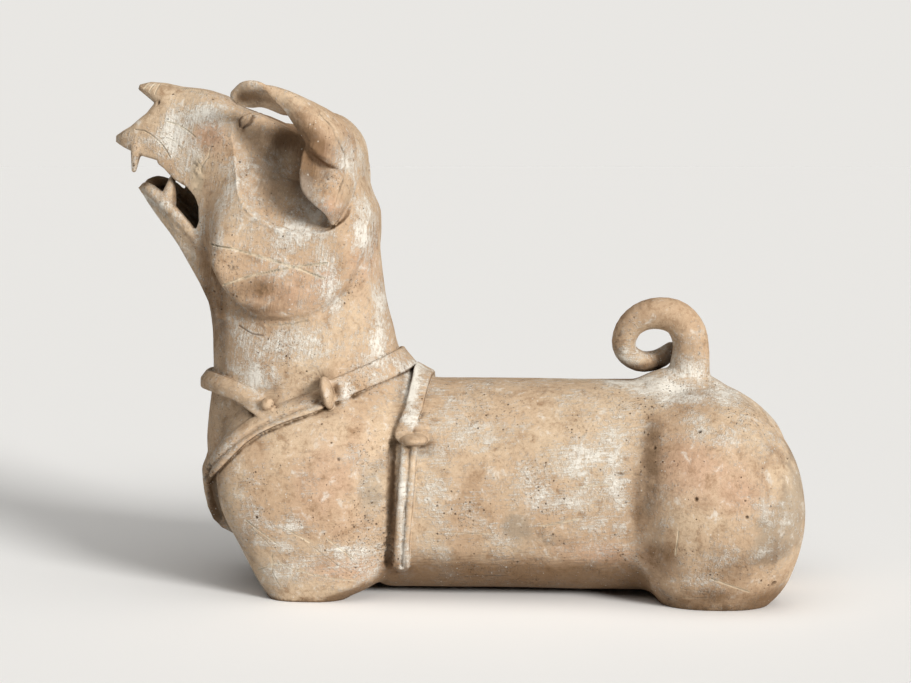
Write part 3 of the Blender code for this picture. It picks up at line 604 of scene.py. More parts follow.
def path_offset(x, z, path):
    """Distance in the side plane to an open path, positive on its left."""
    nearest = np.full(x.shape, FAR_AWAY, x.dtype)
    turn = np.ones(x.shape, x.dtype)
    for start, end in zip(path[:-1], path[1:]):
        gap, ex, ez, px, pz = stretch_gap(x, z, start, end)
        turn = np.where(gap < nearest, np.where(ex * pz > ez * px, 1.0, -1.0), turn)
        nearest = np.minimum(nearest, gap)
    return np.sqrt(nearest) * turn


def leaned(x, z, centre, degrees):
    """Side-plane places measured from a centre along axes leaned by degrees."""
    turn = math.radians(degrees)
    u = (x - centre[0]) * math.cos(turn) + (z - centre[1]) * math.sin(turn)
    w = (z - centre[1]) * math.cos(turn) - (x - centre[0]) * math.sin(turn)
    return u, w


def tapered_rods(x, y, z, rods):
    """Distance to a chain of rods, each from point to point with a radius at both ends."""
    nearest = np.full(x.shape, FAR_AWAY, x.dtype)
    for start, end, start_radius, end_radius in rods:
        step = [b - a for a, b in zip(start, end)]
        away = (x - start[0], y - start[1], z - start[2])
        reach = sum(s * s for s in step)
        t = np.clip(sum(a * s for a, s in zip(away, step)) / reach, 0.0, 1.0)
        gap = np.sqrt(sum((a - t * s) ** 2 for a, s in zip(away, step)))
        nearest = np.minimum(nearest, gap - start_radius - t * (end_radius - start_radius))
    return nearest


def core_field(x, y, z):
    """The clay masses without harness, ears, tail and teeth."""
    side = np.abs(y)
    trunk = oval(z - TRUNK_AXIS_HEIGHT, side, TRUNK_HALF_HEIGHT, TRUNK_HALF_WIDTH, TRUNK_SQUARENESS)
    trunk = common(trunk, np.maximum(TRUNK_SPAN[0] - x, x - TRUNK_SPAN[1]), TRUNK_END_FILLET)
    slope = math.sqrt(0.5)
    undercut = (side - UNDERCUT_WIDTH - z + UNDERCUT_HEIGHT) * slope
    trunk = common(trunk, undercut, UNDERCUT_FILLET)
    trunk = common(trunk, TRUNK_UNDERSIDE - z, UNDERSIDE_FILLET)
    body = trunk
    if x.max() > HIND_START:
        haunches = loft(z, x, side, HAUNCH_LEVELS, HAUNCH_SQUARENESS, HAUNCH_INNER)
        body = blend(body, haunches, HAUNCH_FILLET)
        body = blend(body, ellipsoid(x, y, z, RUMP_CENTRE, RUMP_RADII), RUMP_FILLET)
    if x.min() > FORE_END:
        return body
    body = blend(body, loft(z, x, side, NECK_LEVELS, NECK_SQUARENESS), NECK_FILLET)
    shoulders = loft(z, x, side, SHOULDER_LEVELS, SHOULDER_SQUARENESS, SHOULDER_INNER)
    body = blend(body, shoulders, SHOULDER_FILLET)
    body = blend(body, loft(x, z, side, SKULL_LEVELS, SKULL_SQUARENESS), SKULL_FILLET)
    body = blend(body, loft(z, x, side, POLL_LEVELS, POLL_SQUARENESS), POLL_FILLET)
    disc = np.hypot(x - CHEEK_CENTRE[0], z - CHEEK_CENTRE[1]) - CHEEK_RADIUS
    cheek_side = side - CHEEK_HALF_WIDTH + CHEEK_SLANT * (x - CHEEK_CENTRE[0])
    cheek = common(disc, cheek_side, np.interp(z, CHEEK_FILLET_SPAN, CHEEK_EDGE_FILLETS))
    body = blend(body, cheek, np.interp(z, CHEEK_FILLET_SPAN, CHEEK_FILLETS))
    return open_mouth(body, x, y, z)


def open_mouth(body, x, y, z):
    """Adds muzzle and lower jaw to the head, and opens the hollow mouth between them."""
    side = np.abs(y)
    rounding = SIDE_OUTLINE_ROUNDING
    roof = np.interp(z, MUZZLE_ROOF_SPAN, (0.0, 1.0))
    mouth_z = z - np.interp(y, FAR_LIP_SPAN, (0.0, FAR_LIP_RISE))
    upper_half = np.interp(x, *np.transpose(MUZZLE_PLAN))
    muzzle_side = side - upper_half * (1.0 - MUZZLE_ROOF_NARROWING * roof ** 1.5)
    edge = LIP_EDGE_FILLET + (ROOF_EDGE_FILLET - LIP_EDGE_FILLET) * roof
    muzzle = common(outline_distance(x, z, MUZZLE_OUTLINE) + rounding, muzzle_side + rounding, edge)
    body = blend(body, muzzle - rounding, MUZZLE_FILLET)
    jaw_half = np.interp(x, *np.transpose(JAW_PLAN))
    jaw = common(outline_distance(x, mouth_z, JAW_OUTLINE) + rounding, side - jaw_half + rounding,
                 JAW_EDGE_FILLET)
    body = blend(body, jaw - rounding, JAW_FILLET)
    inner_half = np.minimum(upper_half, jaw_half + JAW_LIP_OVERHANG) - MOUTH_WALL
    hollow = common(outline_distance(x, mouth_z, MOUTH_INSIDE), side - inner_half, MOUTH_FILLET)
    body = cut(body, hollow, SMALL_FILLET)
    gape = outline_distance(x, mouth_z, GAPE_OUTLINE)
    gape = np.where(y > 0, common(gape, x - FAR_CORNER, JAW_EDGE_FILLET), gape)
    return cut(body, gape, SMALL_FILLET)


def flat_strap(body, off, width, height, bevel):
    """Flat clay strip laid on the skin, its upper edge bevelled down by bevel."""
    crown = height - STRAP_CROWN * (2 * off / width) ** 2 - bevel * np.clip(2 * off / width, 0.0, 1.0)
    return common(body - crown, np.abs(off) - width / 2, STRAP_ROUNDING)


def ribbed_strap(body, off, widths, height):
    """Two rounded clay rolls side by side, with the path in the groove between them."""
    upper, lower = (oval(body, off - centre, height, width / 2, RIB_SQUARENESS)
                    for centre, width in ((-widths[0] / 2, widths[0]), (widths[1] / 2, widths[1])))
    return blend(upper, lower, RIB_GROOVE_FILLET)


def keel_strap(x, side, z):
    """The strap end that runs down the breast on the mid line."""
    band = path_distance(x, z, KEEL_STRAP) - KEEL_STRAP_THICKNESS / 2
    return common(band, side - KEEL_STRAP_HALF_WIDTH, KEEL_STRAP_ROUNDING)


def harness(body, x, z):
    """Lays the moulded straps on the skin."""
    throat_height = np.interp(x, THROAT_HEIGHT_SPAN, THROAT_HEIGHTS)
    straps = FAR_AWAY
    for path, width, height, bevel in ((THROAT_STRAP, THROAT_WIDTH, throat_height, THROAT_BEVEL),
                                       (NAPE_STRAP, NAPE_WIDTH, NAPE_HEIGHT, 0.0),
                                       (GIRTH_TOP, GIRTH_WIDTH, GIRTH_HEIGHT, 0.0)):
        straps = np.minimum(straps, flat_strap(body, path_offset(x, z, path), width, height, bevel))
    for path, ribs in ((CHEST_BAND, CHEST_RIBS), (GIRTH_SIDE, GIRTH_RIBS)):
        straps = np.minimum(straps, ribbed_strap(body, path_offset(x, z, path), ribs, RIB_HEIGHT))
    return blend(body, straps, STRAP_FILLET)


def ear_sheet():
    """Middle surface of the near ear flap as a search tree."""
    edges = (EAR_FREE_EDGE, EAR_CREST, EAR_ROOT_EDGE)
    free, crest, root = (smooth_curve(edge, EAR_ROWS) for edge in edges)
    points = np.stack([free * (1 - t) * (1 - 2 * t) + crest * 4 * t * (1 - t) + root * t * (2 * t - 1)
                       for t in np.arange(EAR_CELLS + 1) / EAR_CELLS], 1)
    scoop = sum(((points[:, :, axis] - centre) / size) ** 2
                for axis, centre, size in zip((0, 2), EAR_SCOOP_CENTRE, EAR_SCOOP_SIZE))
    (fold_x, fold_z), (end_x, end_z) = EAR_FOLD
    beyond = ((points[:, :, 0] - fold_x) * (fold_z - end_z)
              + (points[:, :, 2] - fold_z) * (end_x - fold_x))
    under = np.clip(0.5 - beyond / math.dist(*EAR_FOLD) / EAR_FOLD_WIDTH, 0.0, 1.0)
    points[:, :, 1] += EAR_SCOOP_DEPTH * np.exp(-scoop) * under
    wide = EAR_CELLS + 1
    faces = [(i * wide + k, i * wide + k + 1, (i + 1) * wide + k + 1, (i + 1) * wide + k)
             for i in range(EAR_ROWS - 1) for k in range(EAR_CELLS)]
    return BVHTree.FromPolygons([Vector(p) for p in points.reshape(-1, 3)], faces)


def ear_clay(sheet, points):
    """Distance to the clay of the ear flap, which thins towards its free edge."""
    shares, halves = zip(*EAR_THICKNESS)
    found = [sheet.find_nearest(Vector(point), EAR_SEARCH_REACH)[2:] for point in points]
    faces = np.array([-1 if face is None else face for face, _ in found], int)
    gaps = np.array([EAR_SEARCH_REACH if gap is None else gap for _, gap in found], float)
    across = (faces % EAR_CELLS + 0.5) / EAR_CELLS
    return np.where(faces < 0, EAR_SEARCH_REACH, gaps - np.interp(across, shares, halves))


def ear_bowl(x, side, z):
    """Distance to the open air of the dished hollow under the ear."""
    u, w = leaned(x, z, BOWL_CENTRE, BOWL_LEAN)
    spread = (u / BOWL_HALF_SIZES[0]) ** 2 + (w / BOWL_HALF_SIZES[1]) ** 2
    dish = np.interp(z, *np.transpose(BOWL_RIM_PLANE)) - BOWL_DEPTH * (1.0 - spread)
    dish = dish - BOWL_FALL * np.clip(u + BOWL_HALF_SIZES[0], 0.0, 2 * BOWL_HALF_SIZES[0])
    dish = dish + BOWL_WALL * np.clip(spread - 1.0, 0.0, None)
    return (dish - side) * BOWL_SLOPE


def jaw_lip(x, y, z):
    """The rolled lip along both sides of the lower jaw."""
    raised = z - np.interp(y, FAR_LIP_SPAN, (0.0, FAR_LIP_RISE))
    line = smooth_curve(JAW_LIP, JAW_LIP_STATIONS)
    rods = [(a, b, JAW_LIP_RADIUS, JAW_LIP_RADIUS) for a, b in zip(line[:-1], line[1:])]
    return tapered_rods(x, -np.abs(y), raised, rods)


def in_box(x, y, z, low, high):
    """Which places lie in a box."""
    return ((x > low[0]) & (x < high[0]) & (y > low[1]) & (y < high[1]) & (z > low[2]) & (z < high[2]))


def full_field(x, y, z, sheet):
    """Distance field of the whole figure."""
    core = core_field(x, y, z)
    probe = CORE_PROBE
    slope = np.sqrt((core_field(x + probe, y, z) - core) ** 2
                    + (core_field(x, y + probe, z) - core) ** 2
                    + (core_field(x, y, z + probe) - core) ** 2) / probe
    body = core / np.clip(slope, *CORE_SLOPES)
    if x.min() < FORE_END:
        body = head_and_harness(body, x, y, z, sheet)
    tail = smooth_curve(TAIL_PATH, TAIL_STATIONS)
    rods = [(a[:3], b[:3], a[3], b[3]) for a, b in zip(tail[:-1], tail[1:])]
    spot = in_box(x, y, z, *TAIL_BOX)
    root = ellipsoid(x[spot], y[spot], z[spot], TAIL_ROOT_CENTRE, TAIL_ROOT_RADII)
    body[spot] = blend(body[spot], root, TAIL_ROOT_FILLET)
    body[spot] = blend(body[spot], tapered_rods(x[spot], y[spot], z[spot], rods), LUTED_FILLET)
    return common(body, GROUND - z, GROUND_FILLET)


def head_and_harness(body, x, y, z, sheet):
    """Adds straps, toggles, ear bowls, ears and teeth to the body."""
    side = -np.abs(y)
    body = harness(body, x, z)
    body = blend(body, keel_strap(x, -side, z), SMALL_FILLET)
    bowl = blend(ear_bowl(x, -side, z), ellipsoid(x, side, z, *EAR_PIT), EAR_PIT_FILLET)
    body = body - BOWL_EDGE_HEIGHT * np.exp(-(bowl / BOWL_EDGE_WIDTH) ** 2)
    body = cut(body, bowl, SMALL_FILLET)
    for (centre, radii), lean in zip(KNOBS, TOGGLE_LEANS):
        body = blend(body, ellipsoid(x, side, z, centre, radii, lean), SMALL_FILLET)
    for centre, radii, lean in COLLARS:
        body = blend(body, ellipsoid(x, side, z, centre, radii, lean), LUTED_FILLET)
    ear_z = np.where(y > 0, EAR_FOOT_HEIGHT + (z - EAR_FOOT_HEIGHT) / FAR_EAR_LOWERING, z)
    spot = in_box(x, side, z, *EAR_BOX)
    gaps = ear_clay(sheet, np.stack([x[spot], side[spot], ear_z[spot]], 1).astype(float))
    body[spot] = blend(body[spot], gaps.astype(body.dtype), LUTED_FILLET)
    spot = in_box(x, side, z, *TEETH_BOX)
    body[spot] = blend(body[spot], jaw_lip(x[spot], y[spot], z[spot]), SMALL_FILLET)
    body[spot] = blend(body[spot], tapered_rods(x[spot], y[spot], z[spot], TEETH), SMALL_FILLET)
    return body


def sample(field, low, high, step, block):
    """Field values on a fine grid, worked out only in blocks that the skin passes near."""
    shape = [int(math.ceil((b - a) / (step * block))) * block + 1 for a, b in zip(low, high)]
    axes = [np.arange(n, dtype=np.float32) * step + a for n, a in zip(shape, low)]
    coarse = [axis[:-1].reshape(-1, block).mean(1) for axis in axes]
    grid = np.meshgrid(*coarse, indexing="ij")
    rough = field(*[g.ravel() for g in grid]).reshape(grid[0].shape)
    values = np.full(shape, DEEP_VALUE, np.float32)
    inside = np.repeat(np.repeat(np.repeat(rough < 0, block, 0), block, 1), block, 2)
    values[:-1, :-1, :-1][inside] = -DEEP_VALUE
    near = np.argwhere(np.abs(rough) < step * block * 1.2 + 1.5)
    offsets = np.stack(np.meshgrid(*[np.arange(block)] * 3, indexing="ij"), -1).reshape(1, -1, 3)

    def fill(chunk):
        cells = (chunk[:, None, :] * block + offsets).reshape(-1, 3)
        places = [axis[cells[:, k]] for k, axis in enumerate(axes)]
        values[cells[:, 0], cells[:, 1], cells[:, 2]] = field(*places)

    with ThreadPoolExecutor(WORKERS) as workers:
        list(workers.map(fill, np.array_split(near, max(1, len(near) * block ** 3 // CHUNK_PLACES))))
    return values, axes


def skin(values, axes, step):
    """Quads of the zero surface, one corner in each grid cell that it crosses."""
    inside = values < 0
    count = sum(inside[i:i - 1 or None, j:j - 1 or None, k:k - 1 or None].astype(np.int8)
                for i in (0, 1) for j in (0, 1) for k in (0, 1))
    cells = np.argwhere((count > 0) & (count < 8))
    number = np.full(count.shape, -1, np.int64)
    number[tuple(cells.T)] = np.arange(len(cells))
    total = np.zeros((len(cells), 3))
    hits = np.zeros((len(cells), 1))
    for axis in range(3):
        others = [k for k in range(3) if k != axis]
        for first in (0, 1):
            for second in (0, 1):
                start = cells.copy()
                start[:, others[0]] += first
                start[:, others[1]] += second
                end = start.copy()
                end[:, axis] += 1
                a = values[tuple(start.T)]
                b = values[tuple(end.T)]
                crossed = (a < 0) != (b < 0)
                share = np.where(crossed, a / np.where(crossed, a - b, 1.0), 0.0)
                place = start.astype(float)
                place[:, axis] += share
                total += place * crossed[:, None]
                hits += crossed[:, None]
    points = total / hits * step + [axis[0] for axis in axes]
    quads = []
    for axis in range(3):
        first, second = [(1, 2), (2, 0), (0, 1)][axis]
        ahead = [slice(None)] * 3
        behind = [slice(None)] * 3
        ahead[axis] = slice(1, None)
        behind[axis] = slice(None, -1)
        a, b = inside[tuple(behind)], inside[tuple(ahead)]
        for edges, flip in ((np.argwhere(a & ~b), False), (np.argwhere(~a & b), True)):
            ring = []
            for shift_first, shift_second in ((1, 1), (0, 1), (0, 0), (1, 0)):
                cell = edges.copy()
                cell[:, first] -= shift_first
                cell[:, second] -= shift_second
                ring.append(number[tuple(cell.T)])
            ring = np.stack(ring, 1)
            quads.append(ring[:, ::-1] if flip else ring)
    return points, np.vstack(quads)


def lumps(points, size, seed):
    """Smooth random height from -1 to 1 with swells about size across."""
    table = np.random.default_rng(seed).uniform(-1.0, 1.0, (32, 32, 32))
    cell = np.floor(points / size).astype(int)
    t = points / size - cell
    t = t * t * (3 - 2 * t)
    total = np.zeros(len(points))
    for corner in range(8):
        step = np.array([corner & 1, corner >> 1 & 1, corner >> 2 & 1])
        weight = np.prod(np.where(step, t, 1 - t), 1)
        total += weight * table[tuple(((cell + step) % 32).T)]
    return total


def all_cuts():
    """The listed lines with the row of short strokes along the muzzle ridge."""
    ridge = smooth_curve(HATCH_PATH, HATCH_COUNT)
    strokes = []
    for x, z in ridge:
        path = ((x, z - HATCH_LENGTH), (x + HATCH_SLANT, z + HATCH_LENGTH))
        strokes.append((path, HATCH_WIDTH, HATCH_DEPTH, HATCH_CHALK, "both"))
    return CUTS + tuple(strokes)


def carving(points, normals):
    """Depth of the carved lines at places on the skin, how chalky they are, and the shade painted into
    them.
    """
    x, y, z = points.T
    depth = np.zeros(len(points))
    filled = np.zeros(len(points))
    groove_shade = np.zeros(len(points))
    grain = np.clip(0.45 + 0.8 * lumps(points, *LINE_GRAIN), 0.0, 1.0)
    for path, half, deep, chalky, sides in all_cuts():
        facing = np.clip(-normals[:, 1] * 3.0, 0.0, 1.0)
        if sides == "both":
            facing = np.clip(np.abs(normals[:, 1]) * 4.0, 0.0, 1.0)
        off = path_distance(x, z, path) / half
        groove = np.exp(-off ** 2) - LINE_BURR * np.exp(-((off - 2.0) / 0.7) ** 2)
        depth = np.where(off < 4.0, depth + deep * groove * facing, depth)
        filled = np.maximum(filled, chalky * np.exp(-(off / 1.5) ** 2) * facing)
        # Painted shade along the bottoms of the grooves
        groove_shade = np.maximum(groove_shade, np.exp(-(off / 0.8) ** 2) * facing * np.where(chalky > 0, grain, 1.0))
    for place, radius, deep in PINHOLES:
        off = np.linalg.norm(points - place, axis=1) / radius
        depth += deep * np.exp(-off ** 4)
        # Painted shade in the pinholes and nostrils
        groove_shade = np.maximum(groove_shade, np.exp(-off ** 4))
    ragged = JOINT_RAGGED * sum(tall * lumps(points, size, seed) for size, tall, seed in JOINT_LUMPS)
    off = (path_distance(x, z, SHOULDER_JOINT) + ragged) / JOINT_HALF_WIDTH
    joint = np.clip(1.3 - off, 0.0, 1.0) * (y < JOINT_SIDE)
    depth += JOINT_DEPTH * joint * joint * (3.0 - 2.0 * joint)
    # Painted shade in the open joint behind the girth straps
    groove_shade = np.maximum(groove_shade, 0.9 * joint)
    return depth, filled, groove_shade


def distance_to_cuts(points):
    """Distance in the side plane to the nearest carved line or pinhole."""
    x, y, z = points.T
    nearest = np.full(len(points), FAR_AWAY)
    for path, half, deep, chalky, sides in all_cuts():
        gap = path_distance(x, z, path) - half
        nearest = np.minimum(nearest, np.where((y < 0) | (sides == "both"), gap, FAR_AWAY))
    for place, radius, deep in PINHOLES:
        nearest = np.minimum(nearest, np.linalg.norm(points - place, axis=1) - radius)
    joint = np.abs(path_distance(x, z, SHOULDER_JOINT) - JOINT_HALF_WIDTH) - JOINT_RAGGED
    return np.minimum(nearest, np.where(y < JOINT_SIDE, joint, FAR_AWAY))


def patch_mask(points, patches):
    """Strongest soft oval patch at each place; on the hidden side they are moved along."""
    x, y, z = points.T
    x = np.where(y > 0, x + FAR_PATCH_SHIFT[0], x)
    z = np.where(y > 0, z + FAR_PATCH_SHIFT[1], z)
    strongest = np.zeros(len(points))
    for px, pz, rx, rz, strength in patches:
        off = ((x - px) / rx) ** 2 + ((z - pz) / rz) ** 2
        strongest = np.maximum(strongest, strength * np.exp(-PATCH_FALL * off))
    return strongest


def project(points, field, passes, reach):
    """Moves points onto the zero surface along the slope of the field."""
    probe = SKIN_PROBE
    for _ in range(passes):
        x, y, z = points.T
        here = field(x, y, z)
        slope = np.stack([field(x + probe, y, z) - here, field(x, y + probe, z) - here,
                          field(x, y, z + probe) - here], 1) / probe
        steep = np.maximum((slope ** 2).sum(1), 0.3)
        move = slope * (here / steep)[:, None]
        size = np.linalg.norm(move, axis=1, keepdims=True)
        points = points - move * np.minimum(1.0, reach / np.maximum(size, 1e-6))
    return points


def vertex_rows(mesh, name):
    """Places or normals of a mesh's vertices as rows."""
    flat = np.empty(len(mesh.vertices) * 3)
    mesh.vertices.foreach_get(name, flat)
    return flat.reshape(-1, 3)


def place_points(mesh, points):
    """Puts rows of places back into a mesh."""
    mesh.vertices.foreach_set("co", np.asarray(points, float).ravel())
    mesh.update()


def thin_out(dog, triangles):
    """Reduces a triangle mesh to about this many triangles, keeping its forms."""
    dog.data.calc_loop_triangles()
    fewer = dog.modifiers.new("fewer faces", "DECIMATE")
    fewer.ratio = min(1.0, triangles / len(dog.data.loop_triangles))
    bpy.context.view_layer.update()
    done = dog.evaluated_get(bpy.context.evaluated_depsgraph_get())
    result = bpy.data.meshes.new_from_object(done)
    dog.modifiers.clear()
    dog.data = result


def drop_folded_faces(mesh):
    """Takes out pairs of faces that lie back to back on the same three corners."""
    work = bmesh.new()
    work.from_mesh(mesh)
    sharing = {}
    for face in work.faces:
        sharing.setdefault(frozenset(corner.index for corner in face.verts), []).append(face)
    folded = [face for faces in sharing.values() if len(faces) > 1 for face in faces]
    bmesh.ops.delete(work, geom=folded, context="FACES")
    work.to_mesh(mesh)
    work.free()
    mesh.update()


def refine_near_cuts(mesh):
    """Splits the edges beside carved lines so that the lines come out crisp."""
    work = bmesh.new()
    work.from_mesh(mesh)
    known = 0
    for _ in range(REFINEMENT_PASSES):
        work.verts.index_update()
        fresh = [e for e in work.edges if max(e.verts[0].index, e.verts[1].index) >= known]
        known = len(work.verts)
        ends = np.array([(e.verts[0].co, e.verts[1].co) for e in fresh])
        lengths = np.linalg.norm(ends[:, 1] - ends[:, 0], axis=1)
        gaps = distance_to_cuts(ends.mean(1))
        wanted = REFINED_EDGE + REFINED_GROWTH * np.maximum(gaps - REFINED_START, 0.0)
        edges = [e for e, split in zip(fresh, lengths > wanted) if split]
        bmesh.ops.subdivide_edges(work, edges=edges, cuts=1)
        bmesh.ops.triangulate(work, faces=[f for f in work.faces if len(f.verts) > 3])
    work.to_mesh(mesh)
    work.free()
    mesh.update()


def model_dog():
    """The clay body as one closed mesh, with its carved lines and its masks."""
    sheet = ear_sheet()

    def field(x, y, z):
        return full_field(x, y, z, sheet)

    values, axes = sample(field, BOUNDS_LOW, BOUNDS_HIGH, GRID_STEP, BLOCK_CELLS)
    points, quads = skin(values, axes, GRID_STEP)
    points = project(points, field, 1, GRID_STEP * 0.4)
    mesh = bpy.data.meshes.new("guardian dog clay")
    mesh.from_pydata(points.tolist(), [], quads.tolist())
    dog = bpy.data.objects.new("guardian_dog_clay", mesh)
    bpy.context.scene.collection.objects.link(dog)
    thin_out(dog, FIRST_TRIANGLES)
    mesh = dog.data
    refine_near_cuts(mesh)
    points, normals = vertex_rows(mesh, "co"), vertex_rows(mesh, "normal")
    depth, filled, groove_shade = carving(points, normals)
    height = sum(tall * lumps(points, size, seed) for size, tall, seed in SURFACE_SWELLS)
    crust = patch_mask(points, (CORNER_CRUST,)) * (points[:, 1] < 0)
    height = height + crust * (CRUST_HEIGHT * lumps(points, *CRUST_LUMP) - CRUST_SINK)
    resting = np.clip((points[:, 2] - GROUND) / RESTING_HEIGHT, 0.0, 1.0)
    # Painted shade: how closely the clay closes in around each place, over a short and a long reach
    reached = [np.clip(1.0 - field(*(points + normals * gap).T) / gap, 0.0, 1.0)
               for gap in HOLLOW_REACHES]
    raised = np.clip(1.0 + field(*(points - normals * EDGE_REACH).T) / EDGE_REACH, 0.0, 1.0)
    # Painted shade with soil: faces that look down, low on the figure, are darkened
    underside_shade_and_soil = np.clip(-normals[:, 2] * 3.0 - 1.0, 0.0, 1.0)
    underside_shade_and_soil = underside_shade_and_soil * np.clip(2.0 - points[:, 2] / UNDERSIDE_TOP, 0.0, 1.0)
    # Painted shade, near black, deep inside the mouth
    inside_mouth = (np.abs(points[:, 1]) < MOUTH_MASK_HALF_WIDTH) * outline_inside(points)
    points = points + normals * ((height * resting - depth)[:, None])
    place_points(mesh, points)
    start, run = UPRIGHT_STROKES_FROM
    upright = np.clip((points[:, 2] - start) / run, 0.0, 1.0) * (points[:, 0] < -20)
    start, run, most = UPRIGHT_STROKES_REAR
    upright = np.maximum(upright, np.clip((points[:, 0] - start) / run, 0.0, most))
    masks = {
        "tight_hollow_shade": reached[0], "wide_hollow_soil_and_shade": reached[1], "underside": underside_shade_and_soil, "crust": crust,
        "line_fill": filled, "line_painted_shade": groove_shade, "raised_edge": raised, "mouth_painted_shade": inside_mouth,
        "upright_strokes": upright,
    }
    for name, patches in PATCHES.items():
        masks[name] = patch_mask(points, patches)
    for name, values in masks.items():
        layer = mesh.attributes.new(name, "FLOAT", "POINT")
        layer.data.foreach_set("value", np.asarray(values, np.float32))
    thin_out(dog, FINISHED_TRIANGLES)
    drop_folded_faces(dog.data)
    return dog


def outline_inside(points):
    """How deep a place lies in the hollow of the mouth, 0 at the lips to 1 well inside, for the painted
    shade there.
    """
    x, y, z = points.T
    inner = np.clip(-outline_distance(x, z, MOUTH_INSIDE) / 4.0 + 1.2, 0.0, 1.0)
    return inner * np.clip((x - MOUTH_SHADE_START) / MOUTH_SHADE_RUN, 0.0, 1.0)


def fit_to_box(mesh):
    """Scales the figure from millimetres into the solid's box in metres, with level feet."""
    points = vertex_rows(mesh, "co")
    low, high = np.array(cad_box[0]), np.array(cad_box[1])
    size = points.max(0) - points.min(0)
    points = (points - points.min(0)) / size * (high - low) + low
    floor = points[:, 2] < low[2] + FOOT_FLATTEN
    points[floor, 2] = low[2]
    place_points(mesh, points)


class Recipe:
    """A material's node tree, built a node at a time."""

    def __init__(self, name):
        self.material = bpy.data.materials.new(name)
        self.material.use_nodes = True
        self.nodes = self.material.node_tree.nodes
        self.links = self.material.node_tree.links
        self.shader = self.nodes["Principled BSDF"]
        self.place = self.nodes.new("ShaderNodeTexCoord").outputs["Object"]

    def put(self, socket, value):
        if isinstance(value, bpy.types.NodeSocket):
            self.links.new(value, socket)
        else:
            socket.default_value = value

    def mask(self, name):
        node = self.nodes.new("ShaderNodeAttribute")
        node.attribute_name = name
        return node.outputs["Fac"]

    def math(self, operation, first, second=0.0, third=0.0):
        node = self.nodes.new("ShaderNodeMath")
        node.operation = operation
        for socket, value in zip(node.inputs, (first, second, third)):
            self.put(socket, value)
        return node.outputs[0]

    def ramp(self, value, low, high, to_low=0.0, to_high=1.0, soft=True):
        node = self.nodes.new("ShaderNodeMapRange")
        node.interpolation_type = "SMOOTHSTEP" if soft else "LINEAR"
        for socket, given in zip(node.inputs, (value, low, high, to_low, to_high)):
            self.put(socket, given)
        return node.outputs["Result"]

    def stretch(self, scale, turn=(0.0, 0.0, 0.0)):
        node = self.nodes.new("ShaderNodeMapping")
        node.vector_type = "TEXTURE"
        self.put(node.inputs["Vector"], self.place)
        node.inputs["Scale"].default_value = scale
        node.inputs["Rotation"].default_value = turn
        return node.outputs["Vector"]

    def noise(self, scale, detail=4.0, rough=0.55, place=None, warp=0.0):
        node = self.nodes.new("ShaderNodeTexNoise")
        self.put(node.inputs["Vector"], place or self.place)
        node.inputs["Scale"].default_value = scale
        node.inputs["Detail"].default_value = detail
        node.inputs["Roughness"].default_value = rough
        node.inputs["Distortion"].default_value = warp
        return node.outputs["Fac"]

    def warped(self, scale, amount):
        """Places pushed about by noise, so that what is drawn on them loses its regular outline."""
        node = self.nodes.new("ShaderNodeTexNoise")
        self.put(node.inputs["Vector"], self.place)
        node.inputs["Scale"].default_value = scale
        shift = self.nodes.new("ShaderNodeVectorMath")
        shift.operation = "MULTIPLY_ADD"
        self.put(shift.inputs[0], node.outputs["Color"])
        shift.inputs[1].default_value = (amount, amount, amount)
        self.put(shift.inputs[2], self.place)
        return shift.outputs["Vector"]

    def specks(self, scale, smallest, largest, chance, place):
        """Scattered dots of uneven size; chance says what share of the cells has one."""
        node = self.nodes.new("ShaderNodeTexVoronoi")
        self.put(node.inputs["Vector"], place)
        node.inputs["Scale"].default_value = scale
        picked = self.nodes.new("ShaderNodeSeparateColor")
        self.put(picked.inputs[0], node.outputs["Color"])
        reach = self.ramp(picked.outputs[1], 0.0, 1.0, smallest, largest, False)
        dot = self.ramp(self.math("DIVIDE", node.outputs["Distance"], reach), 0.45, 1.0, 1.0, 0.0)
        return self.math("MULTIPLY", dot, self.math("LESS_THAN", picked.outputs[0], chance))

    def swing(self, value, share):
        """A noise as a swing to both sides of nought, times share."""
        return self.math("MULTIPLY", self.math("SUBTRACT", value, 0.5), share)

    def add(self, first, *others):
        for other in others:
            first = self.math("ADD", first, other)
        return first

    def blend_values(self, share, under, over):
        return self.math("ADD", self.math("MULTIPLY", over, share),
                         self.math("MULTIPLY", under, self.math("SUBTRACT", 1.0, share)))

    def mix(self, share, under, over):
        node = self.nodes.new("ShaderNodeMix")
        node.data_type = "RGBA"
        self.put(node.inputs["Factor"], share)
        self.put(node.inputs["A"], under)
        self.put(node.inputs["B"], over)
        return node.outputs["Result"]

    def bump(self, height, distance, under=None):
        node = self.nodes.new("ShaderNodeBump")
        self.put(node.inputs["Height"], height)
        node.inputs["Distance"].default_value = distance
        if under is not None:
            self.put(node.inputs["Normal"], under)
        return node.outputs["Normal"]


